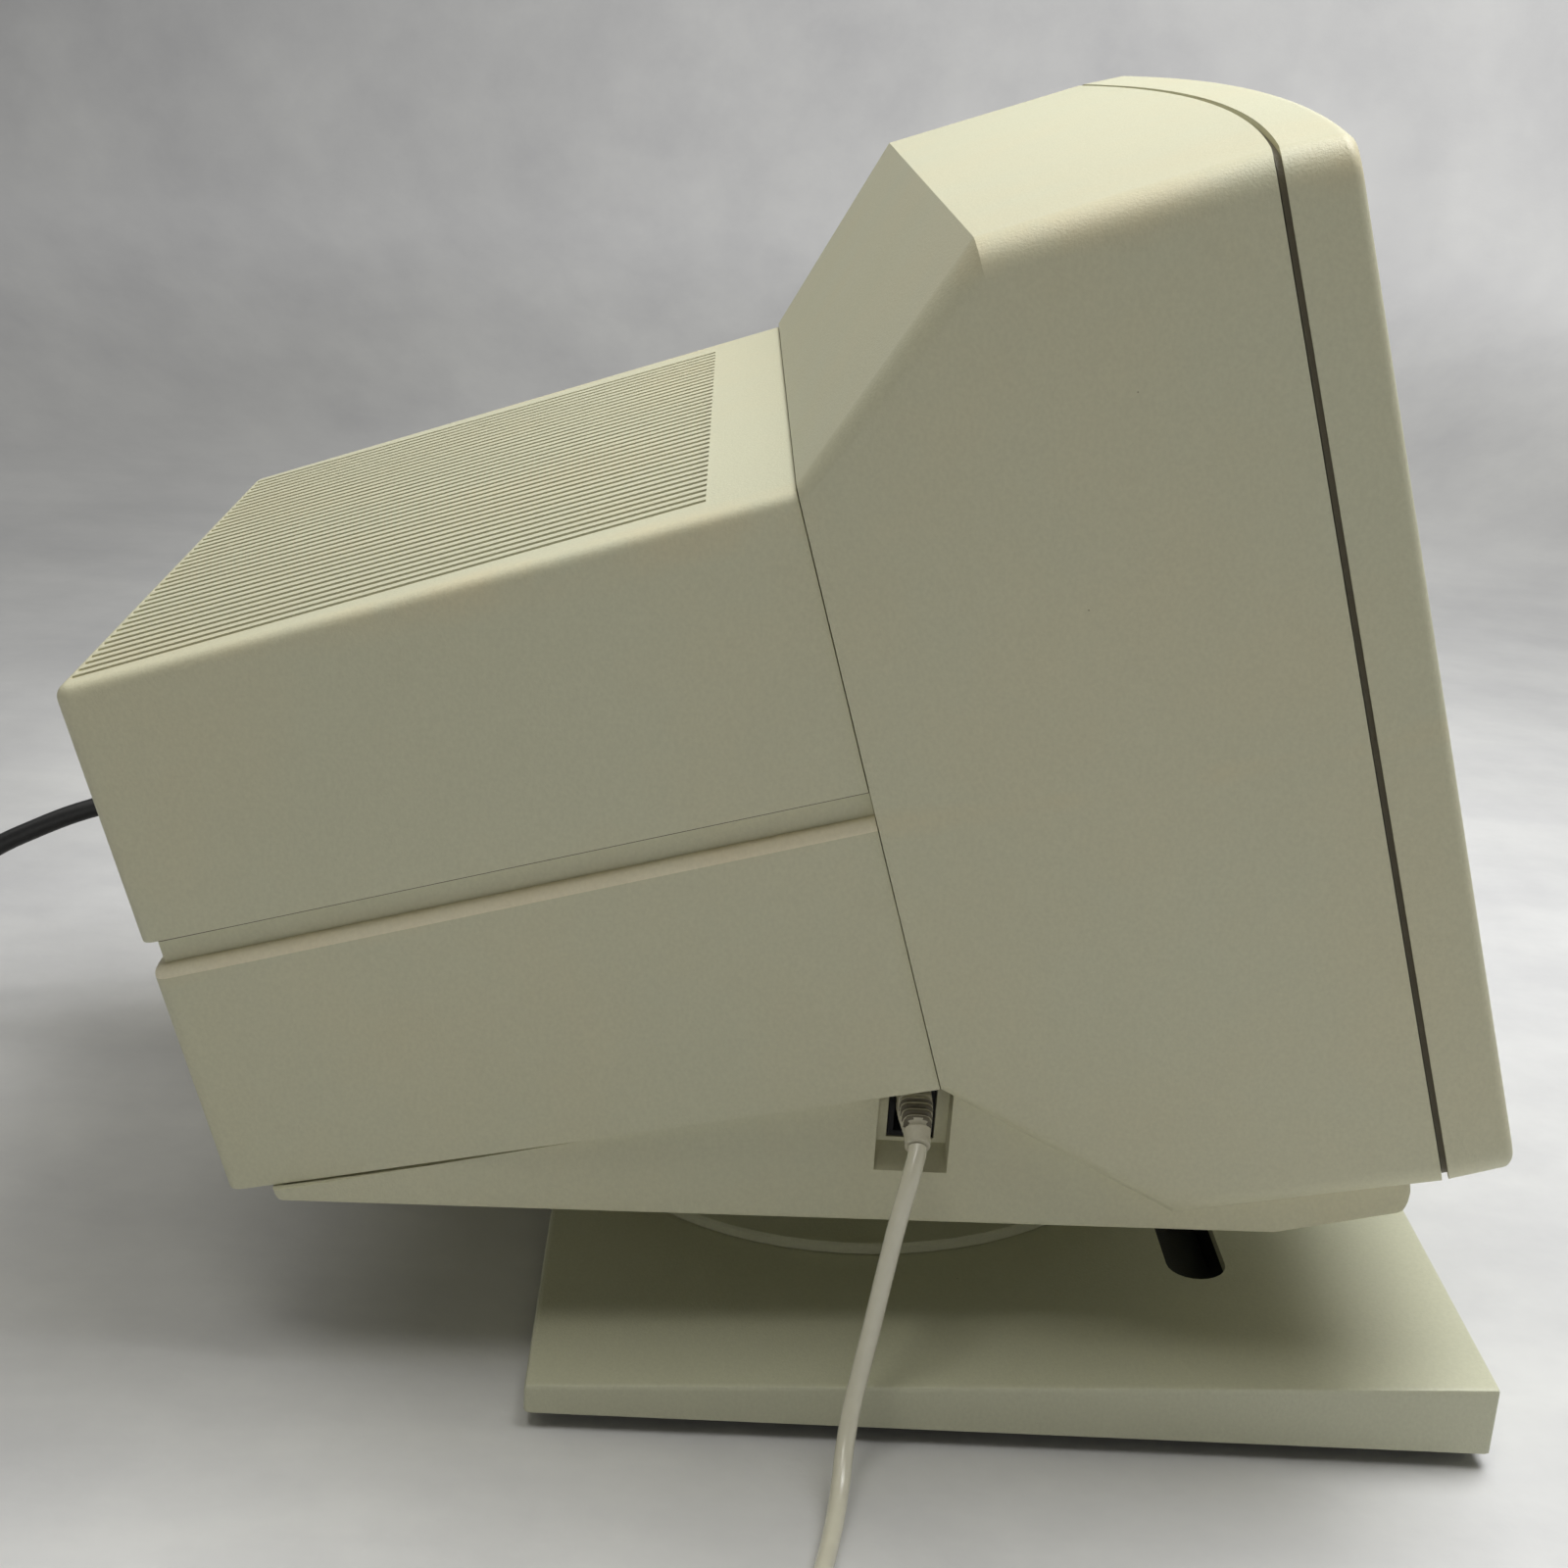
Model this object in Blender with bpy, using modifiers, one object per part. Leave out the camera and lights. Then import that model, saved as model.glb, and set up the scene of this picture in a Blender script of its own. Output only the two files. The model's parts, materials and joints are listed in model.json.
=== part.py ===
"""A 1980s computer terminal: a tilting and swivelling display housing on a low base plate.

Run it with: blender --background --python part.py
Units are metres and degrees, +Z up. The screen faces -Y and the origin is at the bottom centre.
The display is drawn in its own frame: its origin is on the parting line, in the plane where the rear box
meets the front housing, with Y to the back and Z up along the screen. An empty then tilts it back.
"""

import math

import bmesh
import bpy
import numpy as np
from mathutils import Matrix, Vector

# Stand and whole object
SCREEN_TILT = math.radians(17)
PIVOT_HIGH = 0.080
PIVOT_BACK = 0.0150
PLATE_REAR = 0.0974
PLATE_FRONT = 0.1682
PLATE_HALF = 0.160
PLATE_REAR_HIGH = 0.0085
PLATE_FRONT_HIGH = 0.0204
FOOT_HIGH = 0.005
FOOT_RADIUS = 0.009
FOOT_INSET = 0.016
PLATE_ROUND = 0.0018
CENTRE_SHIFT = -0.02732
WALL = 0.003
GAP = 0.0003
OVERRUN = 0.004
SMOOTH = math.radians(40)

# Slot in the plate, and turntable
SLOT_CENTRE = 0.0963
SLOT_WIDE = 0.0175
SLOT_HALF = 0.103
RIM_RADIUS = 0.0905
RIM_HIGH = 0.0035
RIM_WIDE = 0.0032
RIM_INNER_SHARE = 0.7
RIM_OUTER_SHARE = 0.25
RIM_EDGE_SHARE = 0.9
DISC_THICK = 0.003
SPINDLE_RADIUS = 0.020
SPINDLE_WALL = 0.004
BUSH_WALL = 0.003
BUSH_FLANGE = 0.031
FLANGE_THICK = 0.0012
WASHER_THICK = 0.001
NUT_RADIUS = 0.028
NUT_THICK = 0.002

# Pedestal and tilt hinge
PEDESTAL_HALF = 0.017
PEDESTAL_FOOT = 0.018
EAR_RADIUS = 0.0095
SHAFT_RADIUS = 0.004
SHAFT_HEAD = 0.007
SHAFT_HEAD_THICK = 0.003
FRICTION_THICK = 0.0015
BRACKET_THICK = 0.002
BRACKET_LONG = 0.030
BRACKET_FRONT = 0.003
CHEEK_LONG = 0.022
PAN_HOLE_HALF = 0.024

# Picture tube and screen opening, which set the size of the housing
TUBE_HALF_WIDE = 0.144
TUBE_HALF_HIGH = 0.112
TUBE_WALL = 0.004
TUBE_FACE = 0.1395
TUBE_SKIRT = 0.030
TUBE_LAP = 0.014
FACE_RADIUS_WIDE = 0.95
FACE_RADIUS_HIGH = 0.75
SCREEN_UP = 0.005
OPENING_HALF_WIDE = TUBE_HALF_WIDE - TUBE_LAP
OPENING_HALF_HIGH = TUBE_HALF_HIGH - TUBE_LAP
OPENING_CORNER = 0.016
OPENING_SLOPE = 0.007
THROAT_SHARE = 1.6

# Front housing, called the collar, and the bezel
BEZEL_SIDE = 0.0385
BEZEL_TOP = 0.028
BEZEL_BAR = 0.0415
COLLAR_HALF = OPENING_HALF_WIDE + BEZEL_SIDE
COLLAR_DRAFT = 0.0155
COLLAR_HALF_LOW = COLLAR_HALF - COLLAR_DRAFT
COLLAR_TOP = SCREEN_UP + OPENING_HALF_HIGH + BEZEL_TOP
TOP_RISE = 0.0035
COLLAR_BOTTOM = OPENING_HALF_HIGH - SCREEN_UP + BEZEL_BAR
COLLAR_PROUD = 0.0012
COLLAR_SHOULDER = 0.053
COLLAR_CORNER = 0.009
TONGUE = 0.007
TONGUE_GAP = 0.0011
SEAM_SIDE = 0.1213
SEAM_WIDE = 0.0018
SEAM_BULGE = 0.014
FRONT_SIDE = 0.141
FRONT_BULGE = 0.0125
FRONT_ROUND = 0.005

# Rear box, shared by the upper cover and the lower shell
BOX_LENGTH = 0.197
SHOULDER_SIDE = 0.0241
SHOULDER_TOP = 0.0515
SHOULDER_LOW = 0.0485
BOX_DRAFT = 0.0116
COVER_DRAFT = 0.0075
SHELL_DRAFT = 0.011
BOX_HALF_FRONT = COLLAR_HALF - SHOULDER_SIDE
BOX_HALF_REAR = BOX_HALF_FRONT - BOX_DRAFT
COVER_HIGH_FRONT = COLLAR_TOP - SHOULDER_TOP
COVER_HIGH_REAR = COVER_HIGH_FRONT - COVER_DRAFT
SHELL_LOW_FRONT = COLLAR_BOTTOM - SHOULDER_LOW
SHELL_LOW_REAR = SHELL_LOW_FRONT - SHELL_DRAFT
PARTING = 0.0075
LIP_HIGH = 0.010
NOTCH_CLEAR = 0.0005
BOX_EDGE = 0.0045
BOX_CORNER = 0.005

# Vent panel in the upper cover
VENT_FRONT = 0.0236
VENT_REAR_MARGIN = 0.0032
VENT_SIDE_MARGIN = 0.0058
VENT_HALF = BOX_HALF_REAR - VENT_SIDE_MARGIN
VENT_PITCH = 0.0065
VENT_SLOT = 0.0030
VENT_DEEP = 0.0016

# Tube neck, and band round the tube
NECK_RADIUS = 0.0145
NECK_START = 0.012
NECK_ROOM = 0.055
NECK_END = BOX_LENGTH - NECK_ROOM
BAND_WALL = 0.0015
BAND_WIDE = 0.014
EAR_SIZE = 0.0195
EAR_INSET = 0.0018
EAR_THICK = 0.002

# Base pan under the box
PAN_INSET = 0.0084
PAN_HALF = BOX_HALF_FRONT - PAN_INSET
PAN_REAR_INSET = 0.013
PAN_REAR = BOX_LENGTH - PAN_REAR_INSET
PAN_REAR_DEEP = 0.005
PAN_CREASE_DEEP = 0.0215
PAN_NOSE_DEEP = 0.0025
PAN_REAR_LOW = SHELL_LOW_REAR + PAN_REAR_DEEP
PAN_CREASE_BACK = -0.080
PAN_CREASE_LOW = COLLAR_BOTTOM + PAN_CREASE_DEEP
PAN_NOSE_BACK = -0.116
PAN_NOSE_LOW = PAN_CREASE_LOW + PAN_NOSE_DEEP
PAN_FRONT_BACK = -0.121
PAN_ROUND = 0.002

# Height of the parting line above the tilt axis
PIVOT_ROOM = 0.0162
PIVOT_DROP = SHELL_LOW_FRONT + PIVOT_ROOM


def clear_scene():
    """Removes the objects of the scene that is open."""
    for obj in list(bpy.data.objects):
        bpy.data.objects.remove(obj, do_unlink=True)


def make_collection(name, hidden=False):
    collection = bpy.data.collections.new(name)
    bpy.context.scene.collection.children.link(collection)
    collection.hide_render = hidden
    return collection


clear_scene()
PARTS = make_collection("computer_terminal")
CUTTERS = make_collection("cutters", hidden=True)


def material(name, colour, roughness, metallic=0.0):
    made = bpy.data.materials.new(name)
    made.use_nodes = True
    shader = made.node_tree.nodes["Principled BSDF"]
    shader.inputs["Base Color"].default_value = (*colour, 1.0)
    shader.inputs["Roughness"].default_value = roughness
    shader.inputs["Metallic"].default_value = metallic
    return made


CASE = material("case_plastic", (0.66, 0.645, 0.50), 0.55)
PLATE = material("plate_plastic", (0.62, 0.62, 0.48), 0.55)
DARK = material("dark_plastic", (0.03, 0.03, 0.032), 0.5)
RUBBER = material("rubber", (0.02, 0.02, 0.02), 0.85)
GLASS = material("tube_glass", (0.10, 0.12, 0.11), 0.08)
STEEL = material("steel", (0.55, 0.55, 0.56), 0.35, 1.0)
COPPER = material("copper_winding", (0.62, 0.27, 0.12), 0.4, 0.6)
BOARD = material("circuit_board", (0.06, 0.26, 0.12), 0.5)
NYLON = material("nylon", (0.85, 0.84, 0.78), 0.45)
LAMP = material("lamp_lens", (0.16, 0.55, 0.14), 0.2)
KEY_CORD = material("keyboard_cord", (0.60, 0.575, 0.48), 0.3)
MAINS = material("mains_cord", (0.015, 0.015, 0.016), 0.45)

PLATE_SLOPE = math.atan2(PLATE_FRONT_HIGH - PLATE_REAR_HIGH, PLATE_REAR + PLATE_FRONT)


def plate_high(y):
    """The height of the plate's top above its underside."""
    return PLATE_REAR_HIGH + (PLATE_REAR - y) * math.tan(PLATE_SLOPE)


# Frames of the assembly
def empty(name, parent=None, location=(0, 0, 0), turn_x=0.0):
    made = bpy.data.objects.new(name, None)
    PARTS.objects.link(made)
    made.parent = parent
    made.location = location
    made.rotation_euler.x = turn_x
    return made


PLATE_TOP = FOOT_HIGH + plate_high(0)
PIVOT_UP = Matrix.Rotation(PLATE_SLOPE, 4, "X") @ Vector((0, 0, PIVOT_HIGH - PLATE_TOP))
TERMINAL = empty("terminal", None, (0, CENTRE_SHIFT, 0))
SWIVEL_AXIS = empty("swivel_axis", TERMINAL, (0, 0, PLATE_TOP), -PLATE_SLOPE)
TILT_AXIS = empty("tilt_axis", SWIVEL_AXIS, PIVOT_UP, PLATE_SLOPE - SCREEN_TILT)
DISPLAY = empty("display", TILT_AXIS, (0, -PIVOT_BACK, PIVOT_DROP))


# Helpers for shapes
def add(name, mesh, parent, finish, smooth=False):
    obj = bpy.data.objects.new(name, mesh)
    (PARTS if finish else CUTTERS).objects.link(obj)
    obj.parent = parent
    if finish:
        mesh.materials.append(finish)
        if smooth:
            mesh.shade_smooth()
            mesh.set_sharp_from_angle(angle=SMOOTH)
    else:
        obj.hide_render = True
        obj.display_type = "WIRE"
    return obj


def mesh_of(bm, name):
    bmesh.ops.recalc_face_normals(bm, faces=bm.faces)
    mesh = bpy.data.meshes.new(name)
    bm.to_mesh(mesh)
    bm.free()
    return mesh


def box(name, size, centre, parent, finish=None, turn_x=0.0):
    """A box of a size (x, y, z) about its centre."""
    bm = bmesh.new()
    bmesh.ops.create_cube(bm, size=1, matrix=Matrix.Diagonal((*size, 1)))
    obj = add(name, mesh_of(bm, name), parent, finish)
    obj.location = centre
    obj.rotation_euler.x = turn_x
    return obj


def cylinder(name, radius, length, centre, parent, finish=None, along="Z", sides=20, turn_x=0.0):
    """A cylinder about its centre, along an axis of its parent."""
    bm = bmesh.new()
    bmesh.ops.create_cone(bm, cap_ends=True, segments=sides, radius1=radius, radius2=radius, depth=length)
    turn = {"X": Matrix.Rotation(math.pi / 2, 4, "Y"), "Y": Matrix.Rotation(-math.pi / 2, 4, "X"),
            "Z": Matrix.Identity(4)}[along]
    bmesh.ops.transform(bm, matrix=turn, verts=bm.verts)
    obj = add(name, mesh_of(bm, name), parent, finish, smooth=bool(finish))
    obj.location = centre
    obj.rotation_euler.x = turn_x
    return obj


def turned(name, profile, centre, parent, finish=None, steps=32, along="Z"):
    """A solid of revolution: its profile is (radius, height), down the outer side from the top."""
    mesh = bpy.data.meshes.new(name)
    mesh.from_pydata([(r, 0, z) for r, z in profile], [(i, i + 1) for i in range(len(profile) - 1)], [])
    obj = add(name, mesh, parent, finish)
    obj.location = centre
    obj.rotation_euler = {"Z": (0, 0, 0), "Y": (-math.pi / 2, 0, 0), "X": (0, math.pi / 2, 0)}[along]
    screw = obj.modifiers.new("turn", "SCREW")
    screw.steps = screw.render_steps = steps
    screw.use_merge_vertices = True
    screw.merge_threshold = GAP / 10
    screw.use_smooth_shade = True
    return obj


def slab(name, outline, low, high, parent, finish=None, drop=(), ends=True):
    """A side outline of (y, z) points from x = low to x = high. The strips in drop are left open."""
    bm = bmesh.new()
    near = [bm.verts.new((low, y, z)) for y, z in outline]
    far = [bm.verts.new((high, y, z)) for y, z in outline]
    if ends:
        bm.faces.new(near)
        bm.faces.new(far[::-1])
    for i in range(len(outline)):
        if i not in drop:
            j = (i + 1) % len(outline)
            bm.faces.new((near[i], far[i], far[j], near[j]))
    return add(name, mesh_of(bm, name), parent, finish)


def loft(name, rings, parent, finish=None, closed=True, first=False, last=False):
    """A surface through rings of equal point counts; closed rings join their ends."""
    bm = bmesh.new()
    rows = [[bm.verts.new(p) for p in ring] for ring in rings]
    count = len(rows[0])
    for a, b in zip(rows, rows[1:]):
        for i in range(count if closed else count - 1):
            j = (i + 1) % count
            bm.faces.new((a[i], a[j], b[j], b[i]))
    if first:
        bm.faces.new(rows[0][::-1])
    if last:
        bm.faces.new(rows[-1])
    return add(name, mesh_of(bm, name), parent, finish)


def thicken(obj, thickness):
    """Gives an open surface a wall on its inner side."""
    solid = obj.modifiers.new("wall", "SOLIDIFY")
    solid.thickness = thickness
    solid.offset = -1
    solid.use_even_offset = True
    return obj


def bevel(obj, width, segments=2, angle=math.radians(40)):
    edge = obj.modifiers.new("round", "BEVEL")
    edge.width = width
    edge.segments = segments
    edge.limit_method = "ANGLE"
    edge.angle_limit = angle
    return obj


def boolean(obj, other, operation):
    modifier = obj.modifiers.new(operation.lower(), "BOOLEAN")
    modifier.operation = operation
    modifier.object = other
    modifier.solver = "EXACT"


def cut(obj, *cutters):
    for cutter in cutters:
        boolean(obj, cutter, "DIFFERENCE")
    return obj


def join(obj, *others):
    for other in others:
        boolean(obj, other, "UNION")
    return obj


def bulge(x, half, height):
    """How far an arc across the width, with that rise at its middle, stands out at x."""
    radius = (half * half + height * height) / (2 * height)
    return math.sqrt(radius * radius - min(abs(x), half) ** 2) - (radius - height)


def rounded(half_top, half_low, low, high, radius, across=8, corner=3):
    """Points (x, z) round a rectangle with round corners, from the lower right, in a fixed count."""
    centres = ((half_low - radius, low + radius, 270), (half_top - radius, high - radius, 0),
               (radius - half_top, high - radius, 90), (radius - half_low, low + radius, 180))
    arcs = []
    for x, z, start in centres:
        turns = [math.radians(start + 90 * k / corner) for k in range(corner + 1)]
        arcs.append([(x + radius * math.cos(t), z + radius * math.sin(t)) for t in turns])
    points = []
    for k, arc in enumerate(arcs):
        points += arc
        follow = arcs[(k + 1) % 4][0]
        steps = 1 if k % 2 == 0 else across
        for s in range(1, steps):
            points.append(tuple(a + (b - a) * s / steps for a, b in zip(arc[-1], follow)))
    return points


# Rear box
def box_half(y):
    return BOX_HALF_FRONT + (BOX_HALF_REAR - BOX_HALF_FRONT) * y / BOX_LENGTH


def cover_top(y):
    return COVER_HIGH_FRONT + (COVER_HIGH_REAR - COVER_HIGH_FRONT) * y / BOX_LENGTH


def shell_low(y):
    return -(SHELL_LOW_FRONT + (SHELL_LOW_REAR - SHELL_LOW_FRONT) * y / BOX_LENGTH)


def box_ring(z, inset=0.0, front=3 * GAP, corner=BOX_CORNER, steps=3):
    """Points round three sides of the box, drawn in by the inset; z is a height or a function of y."""
    radius = max(corner - inset, GAP)
    rear = BOX_LENGTH - inset
    half = box_half(rear) - inset
    right = [(box_half(front) - inset, front)]
    for k in range(steps + 1):
        turn = math.radians(90 * k / steps)
        right.append((half - radius * (1 - math.cos(turn)), rear - radius * (1 - math.sin(turn))))
    points = right + [(-x, y) for x, y in right[::-1]]
    return [(x, y, z(y) if callable(z) else z) for x, y in points]


BOX_SLOPE = math.atan2(COVER_HIGH_FRONT - COVER_HIGH_REAR, BOX_LENGTH)
SHELL_SLOPE = math.atan2(SHELL_LOW_FRONT - SHELL_LOW_REAR, BOX_LENGTH)
LIP_INSET = WALL + 2 * GAP
REAR_SCREW_INSET = 0.0278
REAR_SCREW_X = BOX_HALF_REAR - REAR_SCREW_INSET
REAR_SCREW_Z = 0.004
SCREW_RADIUS = 0.0016
SCREW_HEAD = 0.0034
SCREW_HEAD_THICK = 0.0018
SCREW_LONG = 0.009
SCREW_CROWN_SHARE = 0.6
SCREW_EDGE_SHARE = 0.45


def rear_screw_bores(owner):
    for side in (-1, 1):
        centre = (side * REAR_SCREW_X, BOX_LENGTH, REAR_SCREW_Z)
        yield cylinder(f"rear_bore_cut_{owner}_{side}", SCREW_RADIUS + GAP, WALL * 6, centre, DISPLAY,
                       along="Y", sides=12)


def upper_cover():
    cover = loft("upper_cover", [box_ring(0), box_ring(cover_top)], DISPLAY, CASE, closed=False, last=True)
    bevel(cover, BOX_EDGE, 3, math.radians(60))
    thicken(cover, WALL)
    rear = BOX_LENGTH - VENT_REAR_MARGIN
    middle = (VENT_FRONT + rear) / 2
    count = int(VENT_HALF * 2 / VENT_PITCH)
    bm = bmesh.new()
    for i in range(count):
        place = Matrix.Translation(((i - (count - 1) / 2) * VENT_PITCH, 0, 0))
        size = Matrix.Diagonal((VENT_SLOT, rear - VENT_FRONT, VENT_DEEP * 2, 1))
        bmesh.ops.create_cube(bm, size=1, matrix=place @ size)
    slots = add("vent_slots_cut", mesh_of(bm, "vent_slots_cut"), DISPLAY, None)
    slots.location = (0, middle, cover_top(middle))
    slots.rotation_euler.x = -BOX_SLOPE
    return cut(cover, slots, *rear_screw_bores("cover"))


def lower_shell():
    """The lower casing: a tray whose drawn-in lip stands up inside the upper cover."""
    rings = [box_ring(shell_low), box_ring(-PARTING - BOX_EDGE / 2)]
    rings.append(box_ring(-PARTING, BOX_EDGE / 4))
    rings.append(box_ring(-PARTING, LIP_INSET))
    rings.append(box_ring(LIP_HIGH, LIP_INSET))
    shell = loft("lower_shell", rings, DISPLAY, CASE, closed=False, first=True)
    thicken(shell, WALL)
    return cut(shell, *rear_screw_bores("shell"))


# Front housing and bezel
def collar_ring(y, half_top, half_low, low, high, corner, arc=0.0):
    """A ring of the housing whose middle stands forward by an arc."""
    ring = rounded(half_top, half_low, low, high, corner)
    return [(x, y - (bulge(x, COLLAR_HALF, arc) if arc else 0), z) for x, z in ring]


def front_collar():
    inset = WALL + TONGUE_GAP
    low, high = shell_low(0), cover_top(0)
    half = BOX_HALF_FRONT
    inner = (half - inset, half - inset, low + inset, high - inset, BOX_CORNER / 2)
    outer = (half + COLLAR_PROUD, half + COLLAR_PROUD, low - COLLAR_PROUD, high + COLLAR_PROUD, BOX_CORNER)
    back = (box_half(TONGUE) - inset, box_half(TONGUE) - inset, shell_low(TONGUE) + inset,
            cover_top(TONGUE) - inset, BOX_CORNER / 2)
    shoulder = (COLLAR_HALF, COLLAR_HALF_LOW, -COLLAR_BOTTOM - COLLAR_PROUD, COLLAR_TOP, COLLAR_CORNER)
    seam = (COLLAR_HALF, COLLAR_HALF, -COLLAR_BOTTOM, COLLAR_TOP + TOP_RISE, COLLAR_CORNER)
    rings = [
        collar_ring(TONGUE, *back),
        collar_ring(0, *inner),
        collar_ring(0, *outer),
        collar_ring(-COLLAR_SHOULDER, *shoulder),
        collar_ring(-SEAM_SIDE, *seam, SEAM_BULGE),
    ]
    collar = loft("front_collar", rings, DISPLAY, CASE)
    thicken(collar, WALL)
    notch_top = LIP_HIGH + NOTCH_CLEAR
    notch_low = -PARTING - WALL * 2 - NOTCH_CLEAR
    notch = box("tongue_notch_cut", (COLLAR_HALF * 2, TONGUE * 2, notch_top - notch_low),
                (0, TONGUE + GAP, (notch_top + notch_low) / 2), DISPLAY)
    return cut(collar, notch)


def tube_face(x, z):
    """The place of the screen glass, which is domed both ways."""
    return -TUBE_FACE + x * x / (2 * FACE_RADIUS_WIDE) + (z - SCREEN_UP) ** 2 / (2 * FACE_RADIUS_HIGH)


BAR_DROP = 0.0285
BAR_UP = SCREEN_UP - OPENING_HALF_HIGH - BAR_DROP
LAMP_INSET = 0.0445
LAMP_X = COLLAR_HALF - LAMP_INSET
LAMP_RADIUS = 0.0025
LAMP_PROUD = 0.0008
WHEEL_INSET = 0.0625
WHEEL_PITCH = 0.022
WHEEL_X = {"contrast_wheel": COLLAR_HALF - WHEEL_INSET - WHEEL_PITCH,
           "brightness_wheel": COLLAR_HALF - WHEEL_INSET}
WHEEL_RADIUS = 0.0080
WHEEL_THICK = 0.005
WHEEL_HUB = 0.003
WHEEL_PROUD = 0.002
WHEEL_CLEAR = 0.0008
POT_THICK = 0.003
CONTROL_BACK = -0.1335
CONTROL_MARGIN = 0.010
CONTROL_LAMP_MARGIN = 0.008
CONTROL_LEFT = WHEEL_X["contrast_wheel"] - CONTROL_MARGIN
CONTROL_RIGHT = LAMP_X + CONTROL_LAMP_MARGIN
BOARD_THICK = 0.0016
BOSS_INSET = 0.014
BOSS_RISE = 0.0165
BOSS_X = COLLAR_HALF - BOSS_INSET
BOSS_Z = OPENING_HALF_HIGH + BOSS_RISE
BOSS_RADIUS = 0.0055
BOSS_END = -0.118


def front_face(x):
    return -FRONT_SIDE - bulge(x, COLLAR_HALF, FRONT_BULGE)


def bezel():
    seam = SEAM_SIDE + SEAM_WIDE
    full = (COLLAR_HALF, COLLAR_HALF, -COLLAR_BOTTOM, COLLAR_TOP + TOP_RISE)
    inset = WALL + TONGUE_GAP
    rings = []

    def ring(y, arc, step, narrow=0.0):
        half_top, half_low, low, high = full
        corner = COLLAR_CORNER - step / 2
        shape = (half_top - step, half_low - step - narrow, low + step, high - step, corner)
        rings.append(collar_ring(y, *shape, arc))

    taper = (COLLAR_HALF - COLLAR_HALF_LOW) / (SEAM_SIDE - COLLAR_SHOULDER)
    ring(-seam + TONGUE, SEAM_BULGE, inset, TONGUE * taper)
    ring(-seam, SEAM_BULGE, inset)
    ring(-seam, SEAM_BULGE, 0)
    ring(-FRONT_SIDE + FRONT_ROUND, FRONT_BULGE, 0)
    ring(-FRONT_SIDE + FRONT_ROUND * (1 - math.sin(math.pi / 4)), FRONT_BULGE,
         FRONT_ROUND * (1 - math.cos(math.pi / 4)))
    ring(-FRONT_SIDE, FRONT_BULGE, FRONT_ROUND)
    opening = rounded(OPENING_HALF_WIDE, OPENING_HALF_WIDE, SCREEN_UP - OPENING_HALF_HIGH,
                      SCREEN_UP + OPENING_HALF_HIGH, OPENING_CORNER)
    rings.append([(x, front_face(x), z) for x, z in opening])
    throat = rounded(OPENING_HALF_WIDE - OPENING_SLOPE, OPENING_HALF_WIDE - OPENING_SLOPE,
                     SCREEN_UP - OPENING_HALF_HIGH + OPENING_SLOPE,
                     SCREEN_UP + OPENING_HALF_HIGH - OPENING_SLOPE, OPENING_CORNER)
    rings.append([(x, tube_face(x, z) - WALL * THROAT_SHARE, z) for x, z in throat])
    frame = loft("bezel", rings, DISPLAY, CASE)
    thicken(frame, WALL)
    for side in (-1, 1):
        for up in (-1, 1):
            start = front_face(BOSS_X) + WALL / 2
            length = BOSS_END - start
            centre = (side * BOSS_X, start + length / 2, SCREEN_UP + up * BOSS_Z)
            join(frame, cylinder(f"bezel_boss_{side}_{up}", BOSS_RADIUS, length, centre, DISPLAY,
                                 along="Y", sides=12))
    for name, x in WHEEL_X.items():
        size = (WHEEL_THICK + 2 * WHEEL_CLEAR, WALL * 4, (WHEEL_RADIUS + GAP) * 2)
        cut(frame, box(f"{name}_slot_cut", size, (x, front_face(x), BAR_UP), DISPLAY))
    place = (LAMP_X, front_face(LAMP_X), BAR_UP)
    return cut(frame, cylinder("lamp_hole_cut", LAMP_RADIUS + GAP, WALL * 4, place, DISPLAY, along="Y", sides=16))


# Base pan with the keyboard's jack
RECESS_CHIN_SHARE = 0.30
RECESS_CENTRE = 0.0095
RECESS_DROP = 0.0125
RECESS_UP = -SHELL_LOW_FRONT - RECESS_DROP
RECESS_LONG = 0.0200
RECESS_HIGH = 0.0235
RECESS_SUNK = 0.005
RECESS_DEEP = 0.0085
RECESS_WALL = 0.0025
JACK_LONG = 0.0125
JACK_HIGH = 0.0185
JACK_DEEP = 0.018
JACK_RISE = 0.0010
JACK_WALL = 0.0015
PAN_SCREW_INSET = 0.024
PAN_SCREW_X = PAN_HALF - PAN_SCREW_INSET
PAN_SCREW_FRONT = -0.070
PAN_SCREW_REAR_INSET = 0.074
PAN_SCREW_BACK = (PAN_SCREW_FRONT, PAN_REAR - PAN_SCREW_REAR_INSET)
PAN_BOSS_RADIUS = 0.006


def pan_low(y):
    """The height of the pan's long underside."""
    share = (y - PAN_CREASE_BACK) / (PAN_REAR - PAN_CREASE_BACK)
    return -(PAN_CREASE_LOW + (PAN_REAR_LOW - PAN_CREASE_LOW) * share)


def under_housing(y):
    """The height under the shell and the housing, where the pan ends."""
    if y > 0:
        return shell_low(y) - GAP * 2
    share = min(-y / COLLAR_SHOULDER, 1)
    low = -(SHELL_LOW_FRONT + COLLAR_PROUD) * (1 - share) - (COLLAR_BOTTOM + COLLAR_PROUD) * share
    if -y > COLLAR_SHOULDER:
        share = (-y - COLLAR_SHOULDER) / (SEAM_SIDE - COLLAR_SHOULDER)
        low += COLLAR_PROUD * share
    return low - GAP * 3


def world_level(y, z):
    """A place near the jack, given level with the table, in the display's frame."""
    turn = Matrix.Rotation(SCREEN_TILT, 4, "X")
    return Vector((0, RECESS_CENTRE, RECESS_UP)) + (turn @ Vector((0, y, z)))


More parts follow.
